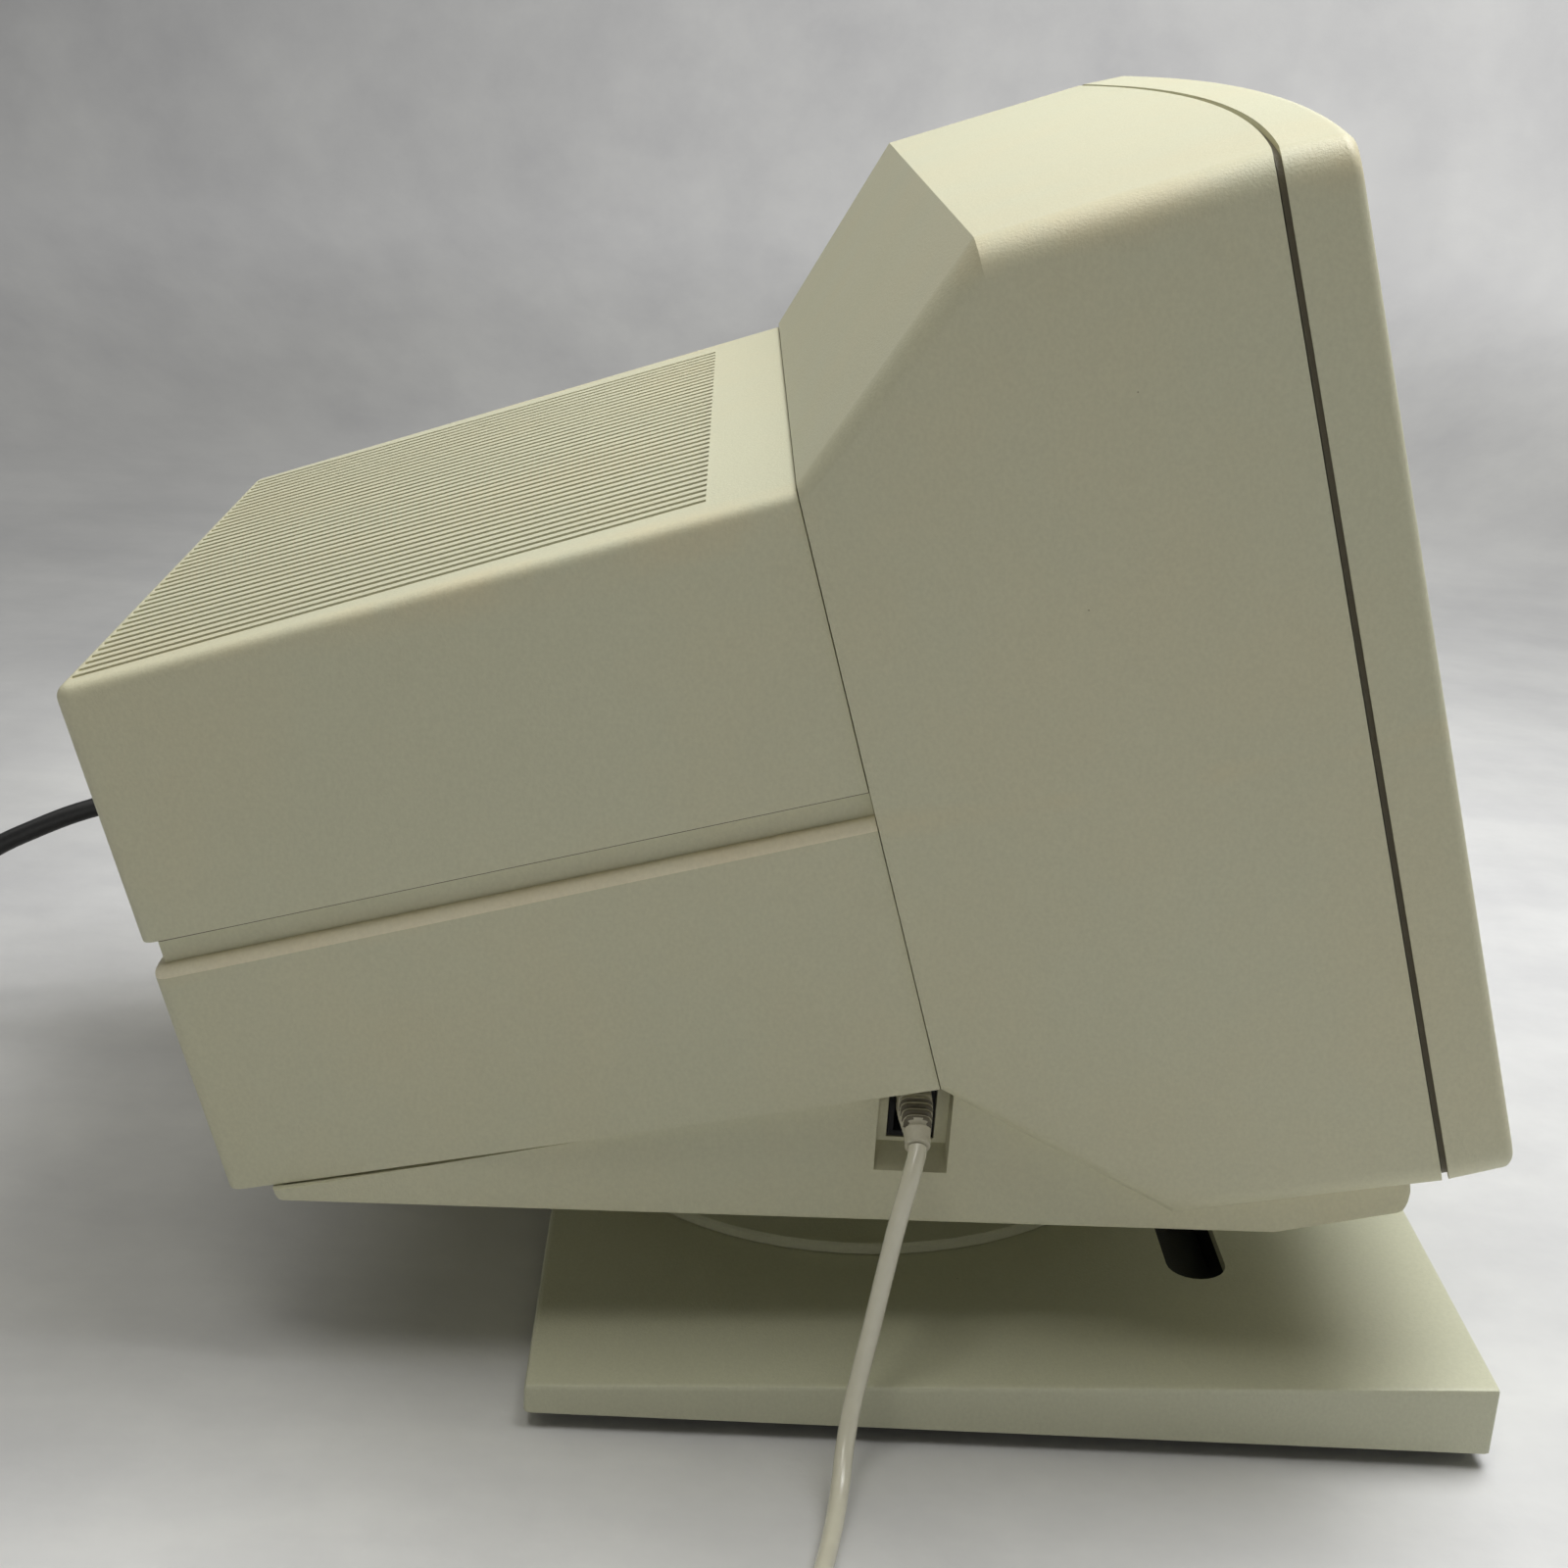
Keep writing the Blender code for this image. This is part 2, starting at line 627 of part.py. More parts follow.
def jack_recess_cut():
    """The recess has a straight roof and walls, and a chin that slopes out to the wall below."""
    half = RECESS_LONG / 2
    low, high = -RECESS_HIGH / 2 - RECESS_SUNK, RECESS_HIGH / 2 + OVERRUN
    outside = -PAN_HALF - OVERRUN
    inside = -PAN_HALF + RECESS_DEEP
    chin = RECESS_HIGH * RECESS_CHIN_SHARE
    rings = []
    for y in (-half, half):
        rings.append([(outside, y, high), (inside, y, high), (inside, y, low + chin), (outside, y, low)])
    bm = bmesh.new()
    rows = [[bm.verts.new(p) for p in ring] for ring in rings]
    bm.faces.new(rows[0])
    bm.faces.new(rows[1][::-1])
    for i in range(len(rows[0])):
        j = (i + 1) % len(rows[0])
        bm.faces.new((rows[0][i], rows[1][i], rows[1][j], rows[0][j]))
    cutter = add("jack_recess_cut", mesh_of(bm, "jack_recess_cut"), DISPLAY, None)
    cutter.location = world_level(0, 0)
    cutter.rotation_euler.x = SCREEN_TILT
    return cutter


def level_box(name, size, x, y, z, finish=None):
    """A box near the jack, level with the table at rest."""
    centre = world_level(y, z)
    return box(name, size, (x, centre.y, centre.z), DISPLAY, finish, SCREEN_TILT)


def base_pan():
    backs = [PAN_FRONT_BACK, -COLLAR_SHOULDER, 0]
    tops = [(y, under_housing(y)) for y in backs] + [(PAN_REAR, under_housing(PAN_REAR))]
    lows = [(PAN_REAR, -PAN_REAR_LOW), (PAN_CREASE_BACK, -PAN_CREASE_LOW), (PAN_NOSE_BACK, -PAN_NOSE_LOW)]
    nose = [(PAN_FRONT_BACK + WALL, -PAN_NOSE_LOW + WALL), (PAN_FRONT_BACK + PAN_ROUND, -PAN_CREASE_LOW + WALL)]
    outline = tops + lows + nose
    pan = slab("base_pan", outline, -PAN_HALF, PAN_HALF, DISPLAY, CASE, drop=(0, 1, 2))
    bevel(pan, PAN_ROUND, 2, math.radians(50))
    thicken(pan, WALL)
    block = []
    for y in (RECESS_CENTRE - RECESS_LONG, RECESS_CENTRE + RECESS_LONG):
        block.append((y, under_housing(y)))
    depth = RECESS_HIGH + RECESS_SUNK + WALL * 2
    block += [(y, z - depth) for y, z in block[::-1]]
    low, high = -PAN_HALF + WALL / 2, -PAN_HALF + RECESS_DEEP + RECESS_WALL
    join(pan, slab("jack_block", block, low, high, DISPLAY))
    middle = PAN_HALF - RECESS_DEEP
    jack_hole = level_box("jack_hole_cut", (RECESS_DEEP * 2, JACK_LONG + 2 * GAP, JACK_HIGH + 2 * GAP),
                          -middle, 0, JACK_RISE)
    cut(pan, jack_recess_cut(), jack_hole)
    top = under_housing(PIVOT_BACK)
    sides = [(PIVOT_BACK - PAN_HOLE_HALF, -PAN_NOSE_LOW), (PIVOT_BACK + PAN_HOLE_HALF, -PAN_NOSE_LOW),
             (PIVOT_BACK + PAN_HOLE_HALF * 2, top), (PIVOT_BACK - PAN_HOLE_HALF / 2, top)]
    half = PEDESTAL_HALF + WALL * 3
    cut(pan, slab("pedestal_hole_cut", sides, -half, half, DISPLAY))
    for k, y in enumerate(PAN_SCREW_BACK):
        for side in (-1, 1):
            x = side * PAN_SCREW_X
            low = pan_low(y) + WALL / 2
            high = under_housing(y) - PAN_BOSS_RADIUS * math.tan(SHELL_SLOPE)
            join(pan, cylinder(f"pan_boss_{k}_{side}", PAN_BOSS_RADIUS, high - low, (x, y, (high + low) / 2),
                               DISPLAY, sides=12))
            bore = SCREW_RADIUS + GAP
            cut(pan, cylinder(f"pan_bore_cut_{k}_{side}", bore, (high - low) * 3, (x, y, low), DISPLAY,
                              sides=12))
    return pan


def keyboard_jack():
    """A modular jack: a block behind the recess, open to the outside."""
    face = -PAN_HALF + RECESS_DEEP
    depth = JACK_DEEP
    jack = level_box("keyboard_jack", (depth, JACK_LONG, JACK_HIGH), face + depth / 2 + GAP, 0, JACK_RISE, DARK)
    hollow = level_box("jack_hollow_cut", (depth * 2, JACK_LONG - 2 * JACK_WALL, JACK_HIGH - 2 * JACK_WALL),
                       face - JACK_WALL, 0, JACK_RISE)
    return cut(jack, hollow)


def screw(name, parent, head_place, axis, finish=STEEL, length=SCREW_LONG):
    """A pan-head screw whose head rests on a face; its axis points out of the head."""
    head = SCREW_HEAD
    thick = SCREW_HEAD_THICK
    profile = [(0, thick), (head * SCREW_CROWN_SHARE, thick), (head, thick * SCREW_EDGE_SHARE), (head, 0),
               (SCREW_RADIUS, 0), (SCREW_RADIUS, -length), (0, -length)]
    made = turned(name, profile, head_place, parent, finish, steps=12)
    made.rotation_euler = Vector(axis).to_track_quat("Z", "Y").to_euler()
    return made


def case_screws():
    slope = math.atan2(PAN_CREASE_LOW - PAN_REAR_LOW, PAN_REAR - PAN_CREASE_BACK)
    for k, y in enumerate(PAN_SCREW_BACK):
        for side, word in ((-1, "left"), (1, "right")):
            name = f"pan_screw_{('front', 'rear')[k]}_{word}"
            seat = pan_low(y) - SCREW_HEAD * math.tan(slope) - GAP
            screw(name, DISPLAY, (side * PAN_SCREW_X, y, seat), (0, 0, -1))
    for side, word in ((-1, "left"), (1, "right")):
        screw(f"rear_screw_{word}", DISPLAY, (side * REAR_SCREW_X, BOX_LENGTH + GAP, REAR_SCREW_Z), (0, 1, 0),
              length=WALL * 2 + GAP)


# Base plate, feet and turntable
POST_RADIUS = 0.011


def base_plate():
    outline = [(PLATE_REAR, 0), (PLATE_REAR, PLATE_REAR_HIGH), (-PLATE_FRONT, PLATE_FRONT_HIGH),
               (-PLATE_FRONT, 0)]
    plate = slab("base_plate", outline, -PLATE_HALF, PLATE_HALF, TERMINAL, PLATE, drop=(3,))
    plate.location.z = FOOT_HIGH
    bevel(plate, PLATE_ROUND, 2)
    thicken(plate, WALL)
    for x, y in foot_places():
        high = plate_high(y) - WALL / 2
        post = cylinder(f"plate_post_{x:.3f}_{y:.3f}", POST_RADIUS, high, (x, y, FOOT_HIGH + high / 2),
                        TERMINAL, sides=12)
        join(plate, post)
    ends = (SLOT_HALF - SLOT_WIDE / 2) * 2
    tall = PLATE_FRONT_HIGH * 3
    cut(plate, box("slot_cut", (ends, SLOT_WIDE, tall), (0, -SLOT_CENTRE, FOOT_HIGH), TERMINAL))
    for side in (-1, 1):
        cut(plate, cylinder(f"slot_end_cut_{side}", SLOT_WIDE / 2, tall, (side * ends / 2, -SLOT_CENTRE,
                            FOOT_HIGH), TERMINAL, sides=24))
    bore = SPINDLE_RADIUS + GAP + BUSH_WALL + GAP
    cut(plate, cylinder("spindle_bore_cut", bore, tall, (0, 0, 0), SWIVEL_AXIS, sides=32))
    return plate


def foot_places():
    for y in (PLATE_REAR - FOOT_INSET, FOOT_INSET - PLATE_FRONT):
        for x in (FOOT_INSET - PLATE_HALF, PLATE_HALF - FOOT_INSET):
            yield x, y


def feet():
    profile = [(0, FOOT_HIGH - GAP), (FOOT_RADIUS, FOOT_HIGH - GAP), (FOOT_RADIUS, FOOT_HIGH / 4),
               (FOOT_RADIUS - FOOT_HIGH / 4, 0), (0, 0)]
    for (x, y), name in zip(foot_places(), ("rear_left", "rear_right", "front_left", "front_right")):
        turned(f"foot_{name}", profile, (x, y, 0), TERMINAL, RUBBER, steps=20)


def turntable():
    low = -(WALL + GAP + FLANGE_THICK + GAP + WASHER_THICK + GAP + NUT_THICK)
    inner = SPINDLE_RADIUS - SPINDLE_WALL
    profile = [(0, DISC_THICK), (RIM_RADIUS - RIM_WIDE, DISC_THICK),
               (RIM_RADIUS - RIM_WIDE * RIM_INNER_SHARE, RIM_HIGH),
               (RIM_RADIUS - RIM_WIDE * RIM_OUTER_SHARE, RIM_HIGH),
               (RIM_RADIUS, DISC_THICK * RIM_EDGE_SHARE), (RIM_RADIUS, GAP), (SPINDLE_RADIUS, GAP),
               (SPINDLE_RADIUS, low), (inner, low), (inner, -GAP), (0, -GAP)]
    disc = turned("turntable", profile, (0, 0, 0), SWIVEL_AXIS, PLATE, steps=64)
    pivot = PIVOT_UP
    ear = [(pivot.y + EAR_RADIUS * math.cos(t), pivot.z + EAR_RADIUS * math.sin(t))
           for t in (math.radians(180 * k / 10) for k in range(11))]
    outline = ear + [(-PEDESTAL_FOOT, DISC_THICK / 2), (PEDESTAL_FOOT, DISC_THICK / 2)]
    pedestal = slab("pedestal", outline, -PEDESTAL_HALF, PEDESTAL_HALF, SWIVEL_AXIS)
    join(disc, pedestal)
    bore = SHAFT_RADIUS + GAP
    return cut(disc, cylinder("shaft_bore_cut", bore, PEDESTAL_HALF * 4, pivot, SWIVEL_AXIS, along="X"))


def spindle_parts():
    inner = SPINDLE_RADIUS + GAP
    outer = inner + BUSH_WALL
    low = -WALL - GAP
    bush = [(inner, 0), (outer, 0), (outer, low), (BUSH_FLANGE, low), (BUSH_FLANGE, low - FLANGE_THICK),
            (inner, low - FLANGE_THICK), (inner, 0)]
    turned("swivel_bush", bush, (0, 0, 0), SWIVEL_AXIS, NYLON, steps=40)
    low -= FLANGE_THICK + GAP

    def ring(name, outer_radius, high, thick, sides):
        shape = [(inner, high), (outer_radius, high), (outer_radius, high - thick), (inner, high - thick),
                 (inner, high)]
        turned(name, shape, (0, 0, 0), SWIVEL_AXIS, STEEL, steps=sides)

    ring("spindle_washer", BUSH_FLANGE, low, WASHER_THICK, 40)
    ring("spindle_nut", NUT_RADIUS, low - WASHER_THICK - GAP, NUT_THICK, 6 * 4)


def tilt_hinge():
    """A bracket under the lower shell straddles the pedestal, with a shaft and two friction washers."""
    cheek = PEDESTAL_HALF + GAP + FRICTION_THICK + GAP
    outer = cheek + BRACKET_THICK
    roof = shell_low(PIVOT_BACK) - GAP
    drop = roof + PIVOT_DROP + EAR_RADIUS
    bracket = box("tilt_bracket", (outer * 2, BRACKET_LONG, BRACKET_THICK), (0, 0, 0), DISPLAY, STEEL,
                  SHELL_SLOPE)
    bracket.location = (0, BRACKET_FRONT + BRACKET_LONG / 2, roof - BRACKET_THICK / 2 - GAP)
    for side in (-1, 1):
        plate = box(f"cheek_{side}", (BRACKET_THICK, CHEEK_LONG, drop), (side * (cheek + BRACKET_THICK / 2),
                    PIVOT_BACK, roof - BRACKET_THICK - drop / 2 + BRACKET_THICK / 2), DISPLAY)
        join(bracket, plate)
    pivot = (0, PIVOT_BACK, -PIVOT_DROP)
    cut(bracket, cylinder("bracket_bore_cut", SHAFT_RADIUS + GAP, outer * 4, pivot, DISPLAY, along="X"))
    end = outer + GAP
    shaft = [(0, end + SHAFT_HEAD_THICK), (SHAFT_HEAD, end + SHAFT_HEAD_THICK), (SHAFT_HEAD, end),
             (SHAFT_RADIUS, end), (SHAFT_RADIUS, -end), (SHAFT_HEAD, -end),
             (SHAFT_HEAD, -end - SHAFT_HEAD_THICK), (0, -end - SHAFT_HEAD_THICK)]
    turned("hinge_shaft", shaft, pivot, DISPLAY, STEEL, steps=20, along="X")
    inner = SHAFT_RADIUS + GAP
    for side, word in ((-1, "left"), (1, "right")):
        middle = side * (PEDESTAL_HALF + GAP + FRICTION_THICK / 2)
        half = FRICTION_THICK / 2
        washer = [(inner, half), (EAR_RADIUS, half), (EAR_RADIUS, -half), (inner, -half), (inner, half)]
        turned(f"friction_washer_{word}", washer, (middle, pivot[1], pivot[2]), DISPLAY, NYLON, steps=24,
               along="X")


# Picture tube
def oval(y, half_wide, half_high, power, count=32):
    """A ring between an ellipse (power 2) and a rectangle (a high power), in the plane at y."""
    points = []
    for k in range(count):
        turn = 2 * math.pi * (k + 1 / 2) / count
        c, s = math.cos(turn), math.sin(turn)
        x = half_wide * math.copysign(abs(c) ** (2 / power), c)
        z = half_high * math.copysign(abs(s) ** (2 / power), s)
        points.append((x, y(x, z + SCREEN_UP) if callable(y) else y, z + SCREEN_UP))
    return points


FACE_POWER = 5.0
FACE_RING_SHARES = (0.35, 0.7, 1.0)
FUNNEL_POWER_SHARE = 0.8
SKIRT_END = TUBE_SKIRT - TUBE_FACE
FUNNEL_SHARES = (0.2, 0.4, 0.6, 0.8)


def funnel_size(share):
    """Half width, half height and squareness of the funnel, from the skirt (0) to the neck (1)."""
    left = (1 - share) ** FUNNEL_POWER_SHARE
    wide = NECK_RADIUS + (TUBE_HALF_WIDE - NECK_RADIUS) * left
    high = NECK_RADIUS + (TUBE_HALF_HIGH - NECK_RADIUS) * left
    return wide, high, 2 + (FACE_POWER - 2) * (1 - share) ** 2


def picture_tube():
    rings = [oval(tube_face, TUBE_HALF_WIDE * k, TUBE_HALF_HIGH * k, FACE_POWER) 
             for k in FACE_RING_SHARES]
    rings.append(oval(SKIRT_END, TUBE_HALF_WIDE, TUBE_HALF_HIGH, FACE_POWER))
    for share in FUNNEL_SHARES:
        y = SKIRT_END + (NECK_START - SKIRT_END) * share
        rings.append(oval(y, *funnel_size(share)))
    rings.append(oval(NECK_START, NECK_RADIUS, NECK_RADIUS, 2))
    rings.append(oval(NECK_END, NECK_RADIUS, NECK_RADIUS, 2))
    tube = loft("picture_tube", rings, DISPLAY, GLASS, first=True)
    return thicken(tube, TUBE_WALL)


def tube_band():
    """A steel band round the tube's skirt, with an ear at each corner on the bezel's bosses."""
    back = SKIRT_END - BAND_WALL
    front = back - BAND_WIDE / 2
    outer = GAP + BAND_WALL
    rings = [oval(y, TUBE_HALF_WIDE + outer, TUBE_HALF_HIGH + outer, FACE_POWER) for y in (front, back)]
    band = loft("tube_band", rings, DISPLAY, STEEL, first=True, last=True)
    size = (EAR_SIZE * 2, EAR_THICK, EAR_SIZE * 2)
    for side in (-1, 1):
        for up in (-1, 1):
            x = side * (BOSS_X + BOSS_RADIUS - EAR_INSET - EAR_SIZE)
            z = SCREEN_UP + up * (BOSS_Z + BOSS_RADIUS - EAR_SIZE)
            join(band, box(f"ear_{side}_{up}", size, (x, BOSS_END + GAP + EAR_THICK / 2, z), DISPLAY))
    rings = [oval(y, TUBE_HALF_WIDE + GAP, TUBE_HALF_HIGH + GAP, FACE_POWER)
             for y in (front - OVERRUN * 2, back + OVERRUN)]
    return cut(band, loft("band_cut", rings, DISPLAY, first=True, last=True))


YOKE_FRONT = 0.014
YOKE_LONG = 0.046
YOKE_RADIUS = 0.044
YOKE_REAR_RADIUS = 0.026
YOKE_STEP_SHARE = 0.5
YOKE_WAIST_SHARE = 0.4
YOKE_FLARE_SHARE = 0.8
NECK_BOARD_INSET = 0.014
NECK_BOARD_BACK = NECK_END - NECK_BOARD_INSET
NECK_BOARD_HALF = 0.030
SOCKET_RADIUS = 0.013
SOCKET_LONG = 0.010


def neck_parts():
    inner = NECK_RADIUS + GAP
    half = YOKE_LONG / 2
    yoke = [(inner, half), (YOKE_REAR_RADIUS, half), (YOKE_REAR_RADIUS, half * YOKE_STEP_SHARE),
            (YOKE_RADIUS * YOKE_FLARE_SHARE, -half * YOKE_WAIST_SHARE),
            (YOKE_RADIUS, -half * YOKE_FLARE_SHARE), (YOKE_RADIUS, -half),
            (inner, -half), (inner, half)]
    turned("deflection_yoke", yoke, (0, YOKE_FRONT + half, SCREEN_UP), DISPLAY, COPPER, steps=28, along="Y")
    board = box("neck_board", (NECK_BOARD_HALF * 2, BOARD_THICK, NECK_BOARD_HALF * 2),
                (0, NECK_BOARD_BACK, SCREEN_UP), DISPLAY, BOARD)
    cut(board, cylinder("neck_hole_cut", inner + GAP, BOARD_THICK * 4, (0, NECK_BOARD_BACK, SCREEN_UP), DISPLAY,
                        along="Y", sides=24))
    cylinder("tube_socket", SOCKET_RADIUS, SOCKET_LONG, (0, NECK_END + GAP + SOCKET_LONG / 2, SCREEN_UP),
             DISPLAY, NYLON, along="Y")


# Boards and what they carry
LOGIC_RISE = 0.0066
LOGIC_INSET = 0.0208
LOGIC_REAR_INSET = 0.010
LOGIC_UP = LOGIC_RISE - SHELL_LOW_REAR
LOGIC_HALF = BOX_HALF_REAR - LOGIC_INSET
LOGIC_FRONT = 0.016
LOGIC_REAR = BOX_LENGTH - LOGIC_REAR_INSET
LOGIC_POST = 0.004
LOGIC_POST_INSET = 0.012
VIDEO_INSET = 0.034
VIDEO_REAR_INSET = 0.026
VIDEO_X = LOGIC_HALF - VIDEO_INSET
VIDEO_FRONT = 0.030
VIDEO_REAR = BOX_LENGTH - VIDEO_REAR_INSET
VIDEO_HEADROOM = 0.032
VIDEO_TOP = COVER_HIGH_REAR - VIDEO_HEADROOM
FLYBACK_SIZE = (0.030, 0.034, 0.044)
FLYBACK_SHARE = 0.348
FLYBACK_BACK = VIDEO_FRONT + (VIDEO_REAR - VIDEO_FRONT) * FLYBACK_SHARE
FLYBACK_RISE = 0.0534
FLYBACK_UP = LOGIC_UP + FLYBACK_RISE
CAP_RADIUS = 0.012
CAP_HIGH = 0.005
CAP_SHARE = 0.45
CAP_STEP_SHARE = 0.1
CAP_GAP = 0.0006
LEAD_WIDE = 0.004
LEAD_RISE = 0.045
LEAD_LIFT_SHARE = 0.8
SINK_SIZE = (0.003, 0.040, 0.034)
SINK_SHARE = 0.725
SINK_BACK = VIDEO_FRONT + (VIDEO_REAR - VIDEO_FRONT) * SINK_SHARE
SINK_FIN = 0.012
SINK_FINS = 5
CAN_RADIUS = 0.011
CAN_LONG = 0.028
CAN_SHARE = 0.145
CAN_BACK = VIDEO_FRONT + (VIDEO_REAR - VIDEO_FRONT) * CAN_SHARE
CAN_RISE = 0.0184
CAN_UP = LOGIC_UP + CAN_RISE
CHIP_SIZE = (0.015, 0.052, 0.004)
CHIP_SHARE = 0.32
CHIP_BACK = LOGIC_FRONT + (LOGIC_REAR - LOGIC_FRONT) * CHIP_SHARE
PROCESSOR_INSET = 0.082
CHARACTER_INSET = 0.054
CHIP_PLACES = {"processor_chip": (PROCESSOR_INSET - LOGIC_HALF, CHIP_BACK),
               "character_chip": (CHARACTER_INSET - LOGIC_HALF, CHIP_BACK)}
BEEPER_RADIUS = 0.012
BEEPER_HIGH = 0.009
BEEPER_INSET = 0.024
BEEPER_SHARE = 0.62
BEEPER_PLACE = (BEEPER_INSET - LOGIC_HALF, LOGIC_FRONT + (LOGIC_REAR - LOGIC_FRONT) * BEEPER_SHARE)
PORT_INSET = 0.040
PORT_PITCH = 0.066
PORT_X = {"host_port": PORT_INSET - LOGIC_HALF, "printer_port": PORT_INSET - LOGIC_HALF + PORT_PITCH}
PORT_FLANGE = (0.053, 0.0125, 0.0125)
PORT_NOSE = (0.0395, 0.0085)
PORT_WALL = 0.001
PORT_DEEP = 0.0056
PORT_PROUD = 0.0060
INLET_INSET = 0.0448
INLET_X = BOX_HALF_REAR - INLET_INSET
INLET_SIZE = (0.0285, 0.0205)
INLET_FLANGE = (0.046, 0.0255)
INLET_MARGIN = 0.00175
INLET_UP = -PARTING - INLET_FLANGE[1] / 2 - INLET_MARGIN
FLANGE_WALL = 0.002
INLET_DEEP = 0.017
INLET_WALL = 0.002
SWITCH_PITCH = 0.044
SWITCH_X = INLET_X - SWITCH_PITCH
SWITCH_SIZE = 0.0165
SWITCH_FLANGE = 0.0215
SWITCH_LONG = 0.016
BUTTON_SIZE = 0.012
BUTTON_LONG = 0.014
BUTTON_TRAVEL = 0.0025
BUTTON_PROUD = 0.0045


def boards():
    logic = box("logic_board", (LOGIC_HALF * 2, LOGIC_REAR - LOGIC_FRONT, BOARD_THICK),
                (0, (LOGIC_REAR + LOGIC_FRONT) / 2, LOGIC_UP - BOARD_THICK / 2), DISPLAY, BOARD)
    low = LOGIC_UP + GAP
    video = box("video_board", (BOARD_THICK, VIDEO_REAR - VIDEO_FRONT, VIDEO_TOP - low),
                (VIDEO_X, (VIDEO_REAR + VIDEO_FRONT) / 2, (VIDEO_TOP + low) / 2), DISPLAY, BOARD)
    for name, (x, y) in CHIP_PLACES.items():
        box(name, CHIP_SIZE, (x, y, LOGIC_UP + GAP + CHIP_SIZE[2] / 2), DISPLAY, DARK)
    cylinder("beeper", BEEPER_RADIUS, BEEPER_HIGH, (*BEEPER_PLACE, LOGIC_UP + GAP + BEEPER_HIGH / 2), DISPLAY,
             DARK)
    return logic, video


def logic_posts(shell):
    """Four posts of the lower shell carry the logic board."""
    for x in (LOGIC_POST_INSET - LOGIC_HALF, LOGIC_HALF - LOGIC_POST_INSET):
        for y in (LOGIC_FRONT + LOGIC_POST_INSET, LOGIC_REAR - LOGIC_POST_INSET):
            high = LOGIC_UP - BOARD_THICK - GAP
            low = shell_low(y) + WALL / 2
            join(shell, cylinder(f"logic_post_{x:.3f}_{y:.3f}", LOGIC_POST, high - low,
                                 (x, y, (high + low) / 2), DISPLAY, sides=10))


def video_parts():
    face = VIDEO_X + BOARD_THICK / 2 + GAP
    wide, deep, tall = FLYBACK_SIZE
    flyback = box("flyback_transformer", FLYBACK_SIZE, (face + wide / 2, FLYBACK_BACK, FLYBACK_UP), DISPLAY,
                  DARK)
    bevel(flyback, GAP * 6, 1)
    base, long, high = SINK_SIZE
    sink = box("heat_sink", SINK_SIZE, (face + base / 2, SINK_BACK, FLYBACK_UP), DISPLAY, STEEL)
    for k in range(SINK_FINS):
        z = FLYBACK_UP + (k / (SINK_FINS - 1) - 1 / 2) * (high - base / 2)
        join(sink, box(f"fin_{k}", (SINK_FIN, long, base / 2), (face + base / 2 + SINK_FIN / 2, SINK_BACK, z),
                       DISPLAY))
    cylinder("filter_capacitor", CAN_RADIUS, CAN_LONG, (face + CAN_LONG / 2, CAN_BACK, CAN_UP), DISPLAY, DARK,
             along="X", sides=20)


def anode():
    """A rubber cap on top of the funnel, and its lead to the flyback transformer."""
    y = SKIRT_END + (NECK_START - SKIRT_END) * CAP_SHARE
    high = funnel_size(CAP_SHARE)[1]
    step = CAP_STEP_SHARE
    slope = (funnel_size(CAP_SHARE + step)[1] - funnel_size(CAP_SHARE - step)[1]) / (
        (NECK_START - SKIRT_END) * step * 2)
    lean = math.atan(slope)
    out = Vector((0, -math.sin(lean), math.cos(lean)))
    along = Vector((0, math.cos(lean), math.sin(lean)))
    seat = Vector((0, y, SCREEN_UP + high)) + out * CAP_GAP
    profile = [(0, CAP_HIGH), (CAP_RADIUS / 2, CAP_HIGH), (CAP_RADIUS, CAP_HIGH / 4), (CAP_RADIUS, 0), (0, 0)]
    cap = turned("anode_cap", profile, seat, DISPLAY, RUBBER, steps=20)
    cap.rotation_euler.x = lean
    start = seat + out * (CAP_HIGH + GAP)
    face = VIDEO_X + BOARD_THICK / 2 + GAP
    end = Vector((face + FLYBACK_SIZE[0] / 2, FLYBACK_BACK, FLYBACK_UP + FLYBACK_SIZE[2] / 2 + GAP))
    rise = Vector((0, 0, LEAD_RISE))
    middle = (start + end) / 2
    route = [start, start + out * LEAD_WIDE * 2, start + out * LEAD_WIDE * 4 + along * LEAD_WIDE * 3,
             (middle.x, middle.y - LEAD_RISE / 2, start.z - LEAD_RISE / 2), middle + rise / 4,
             end + rise * LEAD_LIFT_SHARE, end + rise / 4, end]
    tube("anode_lead", smooth_route(route, LEAD_WIDE * 5 / 2), LEAD_WIDE, DISPLAY, RUBBER, 1)


